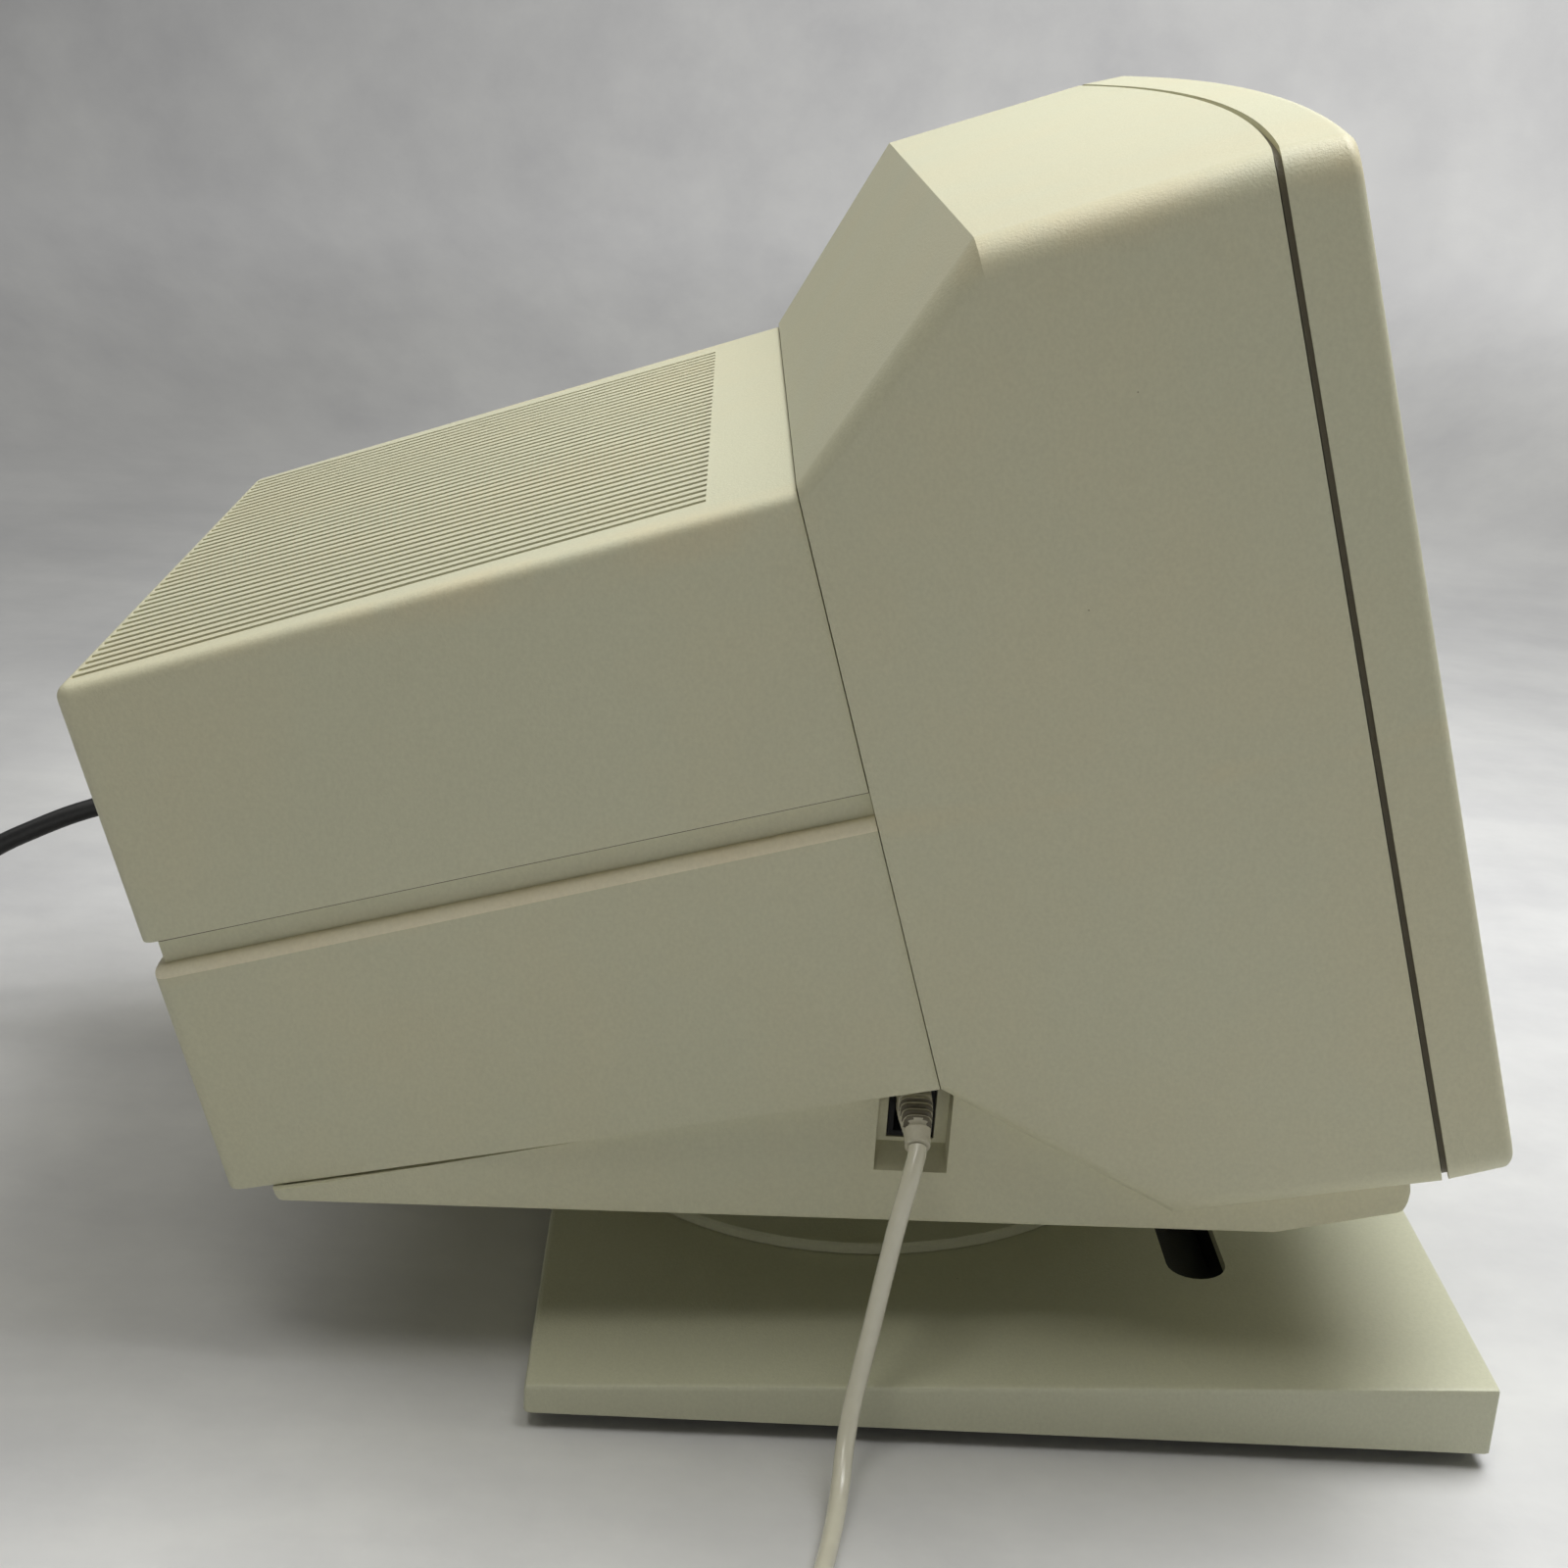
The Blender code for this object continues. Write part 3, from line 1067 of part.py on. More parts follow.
def rear_fittings(shell):
    """The ports, the inlet and the power switch sit in holes in the lower shell's rear wall."""
    for name, x in PORT_X.items():
        wide, deep, high = PORT_FLANGE
        z = LOGIC_UP + GAP + high / 2
        nose_wide, nose_high = PORT_NOSE
        back = BOX_LENGTH - WALL - GAP
        port = box(name, PORT_FLANGE, (x, back - deep / 2, z), DISPLAY, STEEL)
        end = BOX_LENGTH + PORT_PROUD
        join(port, box(f"{name}_nose", (nose_wide, end - back + deep / 2, nose_high),
                       (x, (end + back - deep / 2) / 2, z), DISPLAY))
        hollow = (nose_wide - 2 * PORT_WALL, PORT_DEEP * 2, nose_high - 2 * PORT_WALL)
        cut(port, box(f"{name}_hollow_cut", hollow, (x, end, z), DISPLAY))
        hole = (nose_wide + 2 * GAP, WALL * 4, nose_high + 2 * GAP)
        cut(shell, box(f"{name}_hole_cut", hole, (x, BOX_LENGTH, z), DISPLAY))
    outside = BOX_LENGTH + GAP
    wide, high = INLET_SIZE
    flange_wide, flange_high = INLET_FLANGE
    inlet = box("power_inlet", (flange_wide, FLANGE_WALL, flange_high),
                (INLET_X, outside + FLANGE_WALL / 2, INLET_UP), DISPLAY, DARK)
    length = INLET_DEEP + INLET_WALL
    body = (wide, length, high)
    join(inlet, box("inlet_body", body, (INLET_X, outside + FLANGE_WALL - length / 2, INLET_UP), DISPLAY))
    hollow = (wide - 2 * INLET_WALL, INLET_DEEP * 2, high - 2 * INLET_WALL)
    cut(inlet, box("inlet_hollow_cut", hollow, (INLET_X, outside + FLANGE_WALL, INLET_UP), DISPLAY))
    cut(shell, box("inlet_hole_cut", (wide + 2 * GAP, WALL * 6, high + 2 * GAP),
                   (INLET_X, BOX_LENGTH, INLET_UP), DISPLAY))
    switch = box("power_switch", (SWITCH_FLANGE, FLANGE_WALL, SWITCH_FLANGE),
                 (SWITCH_X, outside + FLANGE_WALL / 2, INLET_UP), DISPLAY, DARK)
    body = (SWITCH_SIZE, SWITCH_LONG + FLANGE_WALL, SWITCH_SIZE)
    join(switch, box("switch_body", body, (SWITCH_X, outside + FLANGE_WALL - body[1] / 2, INLET_UP), DISPLAY))
    depth = BUTTON_LONG - BUTTON_PROUD + BUTTON_TRAVEL + GAP
    pocket = (BUTTON_SIZE + 2 * GAP, depth * 2, BUTTON_SIZE + 2 * GAP)
    cut(switch, box("switch_pocket_cut", pocket, (SWITCH_X, outside + FLANGE_WALL, INLET_UP), DISPLAY))
    cut(shell, box("switch_hole_cut", (SWITCH_SIZE + 2 * GAP, WALL * 6, SWITCH_SIZE + 2 * GAP),
                   (SWITCH_X, BOX_LENGTH, INLET_UP), DISPLAY))
    end = outside + FLANGE_WALL + BUTTON_PROUD
    button = box("power_button", (BUTTON_SIZE, BUTTON_LONG, BUTTON_SIZE),
                 (SWITCH_X, end - BUTTON_LONG / 2, INLET_UP), DISPLAY, CASE)
    bevel(button, GAP * 3, 1)


def front_controls():
    """Two thumbwheels and a lamp in the bezel's lower bar, on a small board behind it."""
    low = WALL * 2 + TONGUE_GAP + GAP - COLLAR_BOTTOM
    high = BAR_UP + WHEEL_RADIUS
    board = box("control_board", (CONTROL_RIGHT - CONTROL_LEFT, BOARD_THICK, high - low),
                ((CONTROL_RIGHT + CONTROL_LEFT) / 2, CONTROL_BACK + BOARD_THICK / 2, (high + low) / 2), DISPLAY,
                BOARD)
    for name, x in WHEEL_X.items():
        centre = front_face(x) + WHEEL_RADIUS - WHEEL_PROUD
        for side in (-1, 1):
            front = centre - WHEEL_HUB / 3
            size = (POT_THICK, CONTROL_BACK + BOARD_THICK / 2 - front, WHEEL_HUB * 3)
            place = (x + side * (WHEEL_THICK / 2 + WHEEL_CLEAR + POT_THICK / 2), front + size[1] / 2, BAR_UP)
            join(board, box(f"{name}_pot_{side}", size, place, DISPLAY))
        half = WHEEL_THICK / 2
        hub = half + WHEEL_CLEAR - GAP
        edge = WHEEL_THICK / 8
        profile = [(0, hub), (WHEEL_HUB, hub), (WHEEL_HUB, half), (WHEEL_RADIUS - edge, half),
                   (WHEEL_RADIUS, half - edge), (WHEEL_RADIUS, edge - half), (WHEEL_RADIUS - edge, -half),
                   (WHEEL_HUB, -half), (WHEEL_HUB, -hub), (0, -hub)]
        turned(name, profile, (x, centre, BAR_UP), DISPLAY, DARK, steps=24, along="X")
    front = front_face(LAMP_X) - LAMP_PROUD
    length = CONTROL_BACK - GAP - front
    cylinder("power_lamp", LAMP_RADIUS, length, (LAMP_X, front + length / 2, BAR_UP), DISPLAY, LAMP, along="Y",
             sides=14)


# Cords
def smooth_route(points, spacing):
    """Points at an even spacing along a smooth curve through the given points."""
    knots = [Vector(p) for p in points]
    knots = [2 * knots[0] - knots[1], *knots, 2 * knots[-1] - knots[-2]]
    steps = 24
    dense = []
    for a, b, c, d in zip(knots, knots[1:], knots[2:], knots[3:]):
        for k in range(steps):
            t = k / steps
            dense.append((2 * b + (c - a) * t + (2 * a - 5 * b + 4 * c - d) * t * t
                          + (3 * b - a - 3 * c + d) * t ** 3) / 2)
    dense.append(knots[-2])
    walked = np.concatenate([[0], np.cumsum([(q - p).length for p, q in zip(dense, dense[1:])])])
    count = max(2, round(walked[-1] / spacing) + 1)
    table = np.array([list(p) for p in dense])
    stations = np.linspace(0, walked[-1], count)
    return [Vector([np.interp(s, walked, table[:, axis]) for axis in range(3)]) for s in stations]


def length_of(points):
    return sum((Vector(b) - Vector(a)).length for a, b in zip(points, points[1:]))


def tube(name, points, diameter, parent, finish, bevel_resolution=2):
    """A round tube through the points, with flat ends."""
    data = bpy.data.curves.new(name, "CURVE")
    data.dimensions = "3D"
    data.bevel_depth = diameter / 2
    data.bevel_resolution = bevel_resolution
    data.use_fill_caps = True
    data.render_resolution_u = 0
    spline = data.splines.new("POLY")
    spline.points.add(len(points) - 1)
    for target, point in zip(spline.points, points):
        target.co = (*point, 1)
    obj = bpy.data.objects.new(name, data)
    PARTS.objects.link(obj)
    obj.parent = parent
    data.materials.append(finish)
    return obj


KEY_WIDE = 0.005
MAINS_WIDE = 0.0068
FLOOR_GAP = 0.0001
TIE_THICK = 0.0008
TIE_WIDE = 0.008
COIL_CLEAR = 0.0012
COIL_STEPS = 24

KEY_COIL_RADIUS = 0.0275
KEY_COIL_TURNS = 4.0
KEY_ROUTE = (
    (-0.1576, -0.0014, 0.0755),
    (-0.1600, 0.0008, 0.0660),
    (-0.1625, 0.0030, 0.0540),
    (-0.1655, 0.0056, 0.0390),
    (-0.1686, 0.0076, 0.0293),
    (-0.1733, 0.0096, 0.0211),
    (-0.1790, 0.0111, 0.0147),
    (-0.1859, 0.0120, 0.0094),
    (-0.1928, 0.0131, 0.0059),
    (-0.2003, 0.0142, 0.0036),
    (-0.2097, 0.0160, 0.0027),
    (-0.2260, 0.0193, 0.0026),
    (-0.2420, 0.0228, 0.0026),
    (-0.2580, 0.0264, 0.0027),
    (-0.2770, 0.0307, 0.0032),
)
KEY_COIL_START = (-0.2960, 0.0350)

MAINS_COIL_RADIUS = 0.0375
MAINS_COIL_TURNS = 3.25
MAINS_ROUTE = (
    (0.0862, 0.2640, 0.0845),
    (0.0842, 0.2740, 0.0820),
    (0.0822, 0.2850, 0.0780),
    (0.0802, 0.2950, 0.0735),
    (0.0785, 0.3050, 0.0685),
    (0.0768, 0.3160, 0.0605),
    (0.0752, 0.3260, 0.0510),
    (0.0737, 0.3360, 0.0400),
    (0.0723, 0.3460, 0.0285),
    (0.0710, 0.3570, 0.0175),
    (0.0698, 0.3700, 0.0092),
    (0.0688, 0.3850, 0.0052),
)
MAINS_COIL_START = (0.0680, 0.4080)

# Plugs, each a row of (distance along, half width, half height, squareness)
BOOT_PATH = ((-0.1145, 0.0036), (-0.1284, 0.0036), (-0.1290, 0.0038), (-0.1375, 0.0040), (-0.1440, 0.0026),
             (-0.1488, -0.0002))
BOOT_SIZES = ((0.0044, 0.0048, 6), (0.0044, 0.0048, 6), (0.0048, 0.0044, 5), (0.0047, 0.0042, 4),
              (0.0042, 0.0038, 3), (0.0036, 0.0035, 2.5))
FAR_PLUG = ((0, 0.0034, 0.0034, 2.5), (0.008, 0.0046, 0.0036, 4), (0.0085, 0.0058, 0.0033, 8),
            (0.0205, 0.0058, 0.0033, 8))
NOSE_LONG = 0.0155
GRIP = ((0, 0.0135, 0.0100, 5), (0.004, 0.0140, 0.0105, 4), (0.016, 0.0125, 0.0095, 3.5),
        (0.022, 0.0090, 0.0080, 3))
RELIEF = ((0, 0.0078, 0.0072, 2.4), (0.006, 0.0062, 0.0060, 2), (0.026, 0.0046, 0.0046, 2))
MAINS_PLUG = ((0, 0.0062, 0.0062, 2), (0.010, 0.0085, 0.0085, 2.5), (0.018, 0.0120, 0.0122, 4),
              (0.040, 0.0128, 0.0122, 4))
BLADE = (0.0016, 0.016, 0.0064)
BLADE_APART = 0.0127
EARTH_RADIUS = 0.0024
EARTH_DROP = 0.0085


def stand_place(point):
    """A place of the display's frame, given in the stand's frame, at rest."""
    lifted = Vector(point) + Vector((0, -PIVOT_BACK, PIVOT_DROP))
    return Vector((0, 0, PIVOT_HIGH)) + Matrix.Rotation(-SCREEN_TILT, 4, "X") @ lifted


def swept(name, stations, side, parent, finish, count=12):
    """A solid along stations of (centre, direction, half width, half height, squareness)."""
    rings = []
    for centre, direction, half_wide, half_high, power in stations:
        out = Vector(direction).normalized()
        across = (Vector(side) - out * Vector(side).dot(out)).normalized()
        up = across.cross(out)
        ring = []
        for k in range(count):
            turn = 2 * math.pi * (k + 1 / 2) / count
            c, s = math.cos(turn), math.sin(turn)
            x = half_wide * math.copysign(abs(c) ** (2 / power), c)
            z = half_high * math.copysign(abs(s) ** (2 / power), s)
            ring.append(Vector(centre) + across * x + up * z)
        rings.append(ring)
    return loft(name, rings, parent, finish, first=True, last=True)


def straight(start, direction, rows):
    """Stations of a straight piece, from its rows of sizes."""
    out = Vector(direction).normalized()
    return [(Vector(start) + out * along, out, *sizes) for along, *sizes in rows]


def coil_points(start, heading, side, mid_radius, turns, wide):
    """A coil of two layers, from outside in, up, and out again; it starts and ends on a straight lead."""
    pitch = wide + COIL_CLEAR
    outer = mid_radius + pitch * turns / 2
    low = TIE_THICK + GAP + wide / 2
    ahead = Vector((*heading, 0)).normalized()
    across = Vector((-ahead.y, ahead.x, 0)) * side
    centre = Vector((*start, low)) + across * outer
    total = 2 * turns * COIL_STEPS
    points = [centre - across * outer - ahead * wide]
    for k in range(round(total) + 1):
        turn = 2 * math.pi * k / COIL_STEPS
        done = k / COIL_STEPS
        radius = outer - pitch * (done if done < turns else 2 * turns - done)
        climb = min(max((done - turns) * 2 + 1 / 2, 0), 1)
        rise = pitch * (1 - math.cos(math.pi * climb)) / 2
        spoke = -across * math.cos(turn) + ahead * math.sin(turn)
        points.append(centre + spoke * radius + Vector((0, 0, rise)))
    last = (points[-1] - points[-2]).normalized()
    last.z = 0
    points.append(points[-1] + last * wide)
    return points, centre, outer, last


def least_gap(points, wide):
    """The least gap of a tube to itself, leaving out its own neighbourhood."""
    table = np.array([list(p) for p in points])
    walked = np.concatenate([[0], np.cumsum(np.linalg.norm(np.diff(table, axis=0), axis=1))])
    fine = np.linspace(0, walked[-1], len(points) * 4)
    table = np.stack([np.interp(fine, walked, table[:, k]) for k in range(3)], axis=1)
    apart = np.linalg.norm(table[:, None] - table[None], axis=2)
    apart[np.abs(fine[:, None] - fine[None]) < wide * 6] = 1
    return apart.min() - wide


def tie(name, centre, spoke, outer, mid_radius, wide, parent, finish):
    """A band round the coil's turns."""
    pitch = wide + COIL_CLEAR
    half = outer - mid_radius + wide / 2 + pitch / 2 + GAP
    high = pitch + wide + 2 * GAP
    middle = Vector((centre.x, centre.y, 0)) + Vector(spoke).normalized() * mid_radius
    middle.z = TIE_THICK + high / 2 + FLOOR_GAP
    thick = TIE_THICK * 2
    band = box(name, (half * 2 + thick, TIE_WIDE, high + thick), middle, parent, finish)
    hollow = box(f"{name}_hollow_cut", (half * 2, TIE_WIDE * 2, high), middle, parent)
    for obj in (band, hollow):
        obj.rotation_euler.z = math.atan2(spoke[1], spoke[0])
    return cut(band, hollow)


def keyboard_lead():
    """The keyboard's lead: a plug in the jack, the lead down to the table, a coil, and its other plug."""
    level = empty("jack_frame", DISPLAY, (0, RECESS_CENTRE, RECESS_UP), SCREEN_TILT)
    stations = []
    for k, ((x, z), sizes) in enumerate(zip(BOOT_PATH, BOOT_SIZES)):
        before = BOOT_PATH[max(k - 1, 0)]
        after = BOOT_PATH[min(k + 1, len(BOOT_PATH) - 1)]
        out = (after[0] - before[0], 0, after[1] - before[1]) if k > 2 else (-1, 0, 0)
        stations.append(((x, 0, z), out, *sizes))
    swept("keyboard_plug", stations, (0, 1, 0), level, KEY_CORD)
    end, out = Vector(stations[-1][0]), Vector(stations[-1][1]).normalized()
    corner = stand_place((0, RECESS_CENTRE, RECESS_UP))
    start = corner + end + out * GAP
    heading = (KEY_COIL_START[0] - KEY_ROUTE[-1][0], KEY_COIL_START[1] - KEY_ROUTE[-1][1])
    points, centre, outer, last = coil_points(KEY_COIL_START, heading, -1, KEY_COIL_RADIUS, KEY_COIL_TURNS,
                                              KEY_WIDE)
    ahead = Vector((*heading, 0)).normalized()
    meet = points[0] - ahead * GAP
    free = smooth_route([start + out * KEY_WIDE, *KEY_ROUTE, meet - ahead * KEY_WIDE], KEY_WIDE * 2)
    free = [start, *free, meet]
    tube("keyboard_cord", free, KEY_WIDE, TERMINAL, KEY_CORD, 2)
    floor = max(row[2] for row in FAR_PLUG) + FLOOR_GAP
    drop = points[-1].z - floor
    for k in range(1, 9):
        along = points[-1] + last * KEY_WIDE
        share = k / 8
        along.z = floor + drop * (1 + math.cos(math.pi * share)) / 2
        points.append(along)
    points.append(points[-1] + last * KEY_WIDE)
    tube("keyboard_coil", points, KEY_WIDE, TERMINAL, KEY_CORD, 1)
    print("keyboard lead", length_of(free) + length_of(points), "least gap", least_gap(points, KEY_WIDE))
    swept("keyboard_far_plug", straight(points[-1] + last * GAP, last, FAR_PLUG), last.cross(Vector((0, 0, 1))),
          TERMINAL, KEY_CORD)
    spoke = (-ahead.x, -ahead.y, 0)
    tie("keyboard_tie", centre, spoke, outer, KEY_COIL_RADIUS, KEY_WIDE, TERMINAL, DARK)


def mains_lead():
    """The mains lead: a plug in the inlet, its strain relief, the lead, a coil, and the wall plug."""
    face = BOX_LENGTH + GAP + FLANGE_WALL + GAP
    back = Vector((0, 1, 0))
    wide, high = INLET_SIZE
    half_wide = wide / 2 - INLET_WALL - GAP
    half_high = high / 2 - INLET_WALL - GAP
    place = Vector((INLET_X, face, INLET_UP))
    rows = [(-NOSE_LONG, half_wide, half_high, 12), (-GAP / 2, half_wide, half_high, 12), *GRIP]
    swept("power_plug", straight(place, back, rows), (1, 0, 0), DISPLAY, MAINS)
    place = place + back * (GRIP[-1][0] + GAP)
    swept("power_relief", straight(place, back, RELIEF), (1, 0, 0), DISPLAY, MAINS)
    end = stand_place(place + back * (RELIEF[-1][0] + GAP))
    out = (end - stand_place(place)).normalized()
    heading = (MAINS_COIL_START[0] - MAINS_ROUTE[-1][0], MAINS_COIL_START[1] - MAINS_ROUTE[-1][1])
    points, centre, outer, last = coil_points(MAINS_COIL_START, heading, 1, MAINS_COIL_RADIUS,
                                              MAINS_COIL_TURNS, MAINS_WIDE)
    ahead = Vector((*heading, 0)).normalized()
    meet = points[0] - ahead * GAP
    free = smooth_route([end + out * MAINS_WIDE, *MAINS_ROUTE, meet - ahead * MAINS_WIDE], MAINS_WIDE * 2)
    free = [end, *free, meet]
    frame = SWIVEL_AXIS

    def local(point):
        lowered = Vector(point) - Vector((0, 0, PLATE_TOP))
        return Matrix.Rotation(PLATE_SLOPE, 4, "X") @ lowered

    level = empty("mains_frame", frame, local((0, 0, 0)), PLATE_SLOPE)
    tube("power_cord", free, MAINS_WIDE, level, MAINS, 2)
    tube("power_coil", points, MAINS_WIDE, level, MAINS, 1)
    print("mains lead", length_of(free) + length_of(points), "least gap", least_gap(points, MAINS_WIDE))
    start = points[-1] + last * GAP
    plug = swept("mains_plug", straight(start, last, MAINS_PLUG), last.cross(Vector((0, 0, 1))), level, MAINS)
    front = start + last * (MAINS_PLUG[-1][0] + BLADE[1] / 2 - OVERRUN)
    across = last.cross(Vector((0, 0, 1)))
    turn = math.atan2(-last.x, last.y)
    for side in (-1, 1):
        blade = box(f"blade_{side}", BLADE, front + across * side * BLADE_APART / 2, level)
        blade.rotation_euler.z = turn
        join(plug, blade)
    earth = cylinder("earth_pin", EARTH_RADIUS, BLADE[1], front - Vector((0, 0, EARTH_DROP)), level, along="Y",
                     sides=10)
    earth.rotation_euler.z = turn
    join(plug, earth)
    spoke = (ahead.x, ahead.y, 0)
    tie("power_tie", centre, spoke, outer, MAINS_COIL_RADIUS, MAINS_WIDE, level, DARK)


def report_frames():
    """Prints the joint axes and the box of the part without its leads."""
    bpy.context.view_layer.update()
    for frame in (SWIVEL_AXIS, TILT_AXIS, DISPLAY):
        print(frame.name, [round(v, 5) for v in frame.matrix_world.translation],
              "Z axis", [round(v, 5) for v in frame.matrix_world.col[2][:3]])


def main():
    upper_cover()
    shell = lower_shell()
    logic_posts(shell)
    rear_fittings(shell)
    front_collar()
    bezel()
    base_pan()
    keyboard_jack()
    case_screws()
    base_plate()
    feet()
    turntable()
    spindle_parts()
    tilt_hinge()
    picture_tube()
    tube_band()
    neck_parts()
    boards()
    video_parts()
    anode()
    front_controls()
    keyboard_lead()
    mains_lead()
    report_frames()


main()
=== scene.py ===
import json
import math

import bmesh
import bpy
import numpy as np
from mathutils import Matrix, Vector


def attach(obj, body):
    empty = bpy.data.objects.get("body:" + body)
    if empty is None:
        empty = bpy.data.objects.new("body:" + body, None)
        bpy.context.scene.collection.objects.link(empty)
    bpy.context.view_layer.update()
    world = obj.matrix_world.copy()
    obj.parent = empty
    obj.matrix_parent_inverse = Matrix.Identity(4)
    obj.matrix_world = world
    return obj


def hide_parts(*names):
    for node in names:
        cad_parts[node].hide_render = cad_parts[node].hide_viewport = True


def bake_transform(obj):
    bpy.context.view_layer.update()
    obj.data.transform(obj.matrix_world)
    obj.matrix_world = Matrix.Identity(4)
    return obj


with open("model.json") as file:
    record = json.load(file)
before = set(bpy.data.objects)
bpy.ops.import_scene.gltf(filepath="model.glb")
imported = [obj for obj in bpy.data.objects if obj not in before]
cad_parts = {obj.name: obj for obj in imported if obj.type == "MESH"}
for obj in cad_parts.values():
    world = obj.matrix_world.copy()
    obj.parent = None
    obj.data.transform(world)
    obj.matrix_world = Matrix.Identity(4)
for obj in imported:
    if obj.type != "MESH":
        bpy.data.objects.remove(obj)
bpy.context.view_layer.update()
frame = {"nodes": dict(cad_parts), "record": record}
NODES = frame["nodes"]

# Frames of the part, in metres, as the source has them
SCREEN_TILT = math.radians(17)
CENTRE_SHIFT = -0.02732
PIVOT_HIGH = 0.080
PIVOT_BACK = 0.0150
PIVOT_DROP = 0.1022
JACK_BEHIND = 0.0095
JACK_DROP = 0.0985
GAP = 0.0003
DISPLAY = (Matrix.Translation((0, CENTRE_SHIFT, PIVOT_HIGH)) @ Matrix.Rotation(-SCREEN_TILT, 4, "X")
           @ Matrix.Translation((0, -PIVOT_BACK, PIVOT_DROP)))
JACK = DISPLAY @ Matrix.Translation((0, JACK_BEHIND, -JACK_DROP)) @ Matrix.Rotation(SCREEN_TILT, 4, "X")
TO_DISPLAY = DISPLAY.inverted()
TO_JACK = JACK.inverted()


# Objects and meshes
def new_object(name, data):
    """An object with the given mesh, light or camera, in the scene."""
    obj = bpy.data.objects.new(name, data)
    bpy.context.scene.collection.objects.link(obj)
    return obj


def mesh_object(name, bm):
    """An object with what a bmesh holds, which is freed."""
    mesh = bpy.data.meshes.new(name)
    bm.to_mesh(mesh)
    bm.free()
    return new_object(name, mesh)


def loft(name, rings, closed=True, first=False, last=False):
    """A surface through rings of equal point counts; closed rings join their ends."""
    bm = bmesh.new()
    rows = [[bm.verts.new(point) for point in ring] for ring in rings]
    count = len(rows[0])
    for a, b in zip(rows, rows[1:]):
        for i in range(count if closed else count - 1):
            j = (i + 1) % count
            bm.faces.new((a[i], a[j], b[j], b[i]))
    if first:
        bm.faces.new(rows[0][::-1])
    if last:
        bm.faces.new(rows[-1])
    bmesh.ops.recalc_face_normals(bm, faces=bm.faces)
    return mesh_object(name, bm)


# Camera
CAMERA_LENS = 54
CAMERA_SENSOR = 36
CAMERA_CLIP = (0.01, 200)
CAMERA_PLACE = (-0.7080, 0.03216, 0.37569)
CAMERA_RIGHT = Vector((-0.0176338, -0.99788717, 0.06253195))
CAMERA_UP = Vector((0.32471971, 0.05343575, 0.9442996))
CAMERA_BACK = Vector((-0.94564589, 0.03695694, 0.32309136))


def make_camera():
    data = bpy.data.cameras.new("camera")
    data.lens = CAMERA_LENS
    data.sensor_width = CAMERA_SENSOR
    data.clip_start, data.clip_end = CAMERA_CLIP
    camera = new_object("camera", data)
    place = Matrix((CAMERA_RIGHT, CAMERA_UP, CAMERA_BACK)).transposed().to_4x4()
    place.translation = CAMERA_PLACE
    camera.matrix_world = place
    bpy.context.scene.camera = camera


# Shader nodes
MIX_FIRST = 6
MIX_SECOND = 7
MIX_RESULT = 2
BLACK = (0, 0, 0, 1)
WHITE = (1, 1, 1, 1)


def nodes_of(material):
    material.use_nodes = True
    tree = material.node_tree
    return tree, tree.nodes["Principled BSDF"]


def link(tree, a, out, b, into):
    tree.links.new(a.outputs[out], b.inputs[into])


def noise(tree, place, scale, detail=3.0, roughness=0.5, stretch=None, out="Object"):
    made = tree.nodes.new("ShaderNodeTexNoise")
    made.inputs["Scale"].default_value = scale
    made.inputs["Detail"].default_value = detail
    made.inputs["Roughness"].default_value = roughness
    if stretch:
        mapping = tree.nodes.new("ShaderNodeMapping")
        mapping.inputs["Scale"].default_value = stretch
        link(tree, place, out, mapping, "Vector")
        link(tree, mapping, "Vector", made, "Vector")
    else:
        link(tree, place, out, made, "Vector")
    return made


def ramp(tree, source, out, low, high, colour_low=BLACK, colour_high=WHITE):
    """A colour that goes from one to another while the source goes from low to high."""
    made = tree.nodes.new("ShaderNodeValToRGB")
    made.color_ramp.elements[0].position = low
    made.color_ramp.elements[1].position = high
    made.color_ramp.elements[0].color = colour_low
    made.color_ramp.elements[1].color = colour_high
    link(tree, source, out, made, "Fac")
    return made


def mixed(tree, share, share_out, first, second):
    """A colour between two: each is a colour or a node with a colour output."""
    made = tree.nodes.new("ShaderNodeMix")
    made.data_type = "RGBA"
    for socket, value in ((MIX_FIRST, first), (MIX_SECOND, second)):
        if isinstance(value, tuple):
            made.inputs[socket].default_value = (*value, 1)
        else:
            out = MIX_RESULT if value.bl_idname == "ShaderNodeMix" else "Color"
            link(tree, value, out, made, socket)
    link(tree, share, share_out, made, 0)
    return made


def multiplied(tree, first, first_out, second):
    """The product of a node's colour and a ramp's."""
    made = tree.nodes.new("ShaderNodeMix")
    made.data_type = "RGBA"
    made.blend_type = "MULTIPLY"
    made.inputs[0].default_value = 1
    link(tree, first, first_out, made, MIX_FIRST)
    link(tree, second, "Color", made, MIX_SECOND)
    return made


def math_node(tree, operation, *values):
    """A Math node; each value is a number or a (node, output) pair."""
    made = tree.nodes.new("ShaderNodeMath")
    made.operation = operation
    for k, value in enumerate(values):
        if isinstance(value, tuple):
            link(tree, value[0], value[1], made, k)
        else:
            made.inputs[k].default_value = value
    return made


def vector_node(tree, operation, source, out):
    """A Vector Math node whose first value is another node's output."""
    made = tree.nodes.new("ShaderNodeVectorMath")
    made.operation = operation
    link(tree, source, out, made, 0)
    return made


def distance(tree, *steps):
    """How far one or two steps lead; each is a (node, output) pair."""
    squares = [(math_node(tree, "POWER", step, 2.0), 0) for step in steps]
    total = squares[0] if len(squares) == 1 else (math_node(tree, "ADD", *squares), 0)
    return math_node(tree, "SQRT", total)


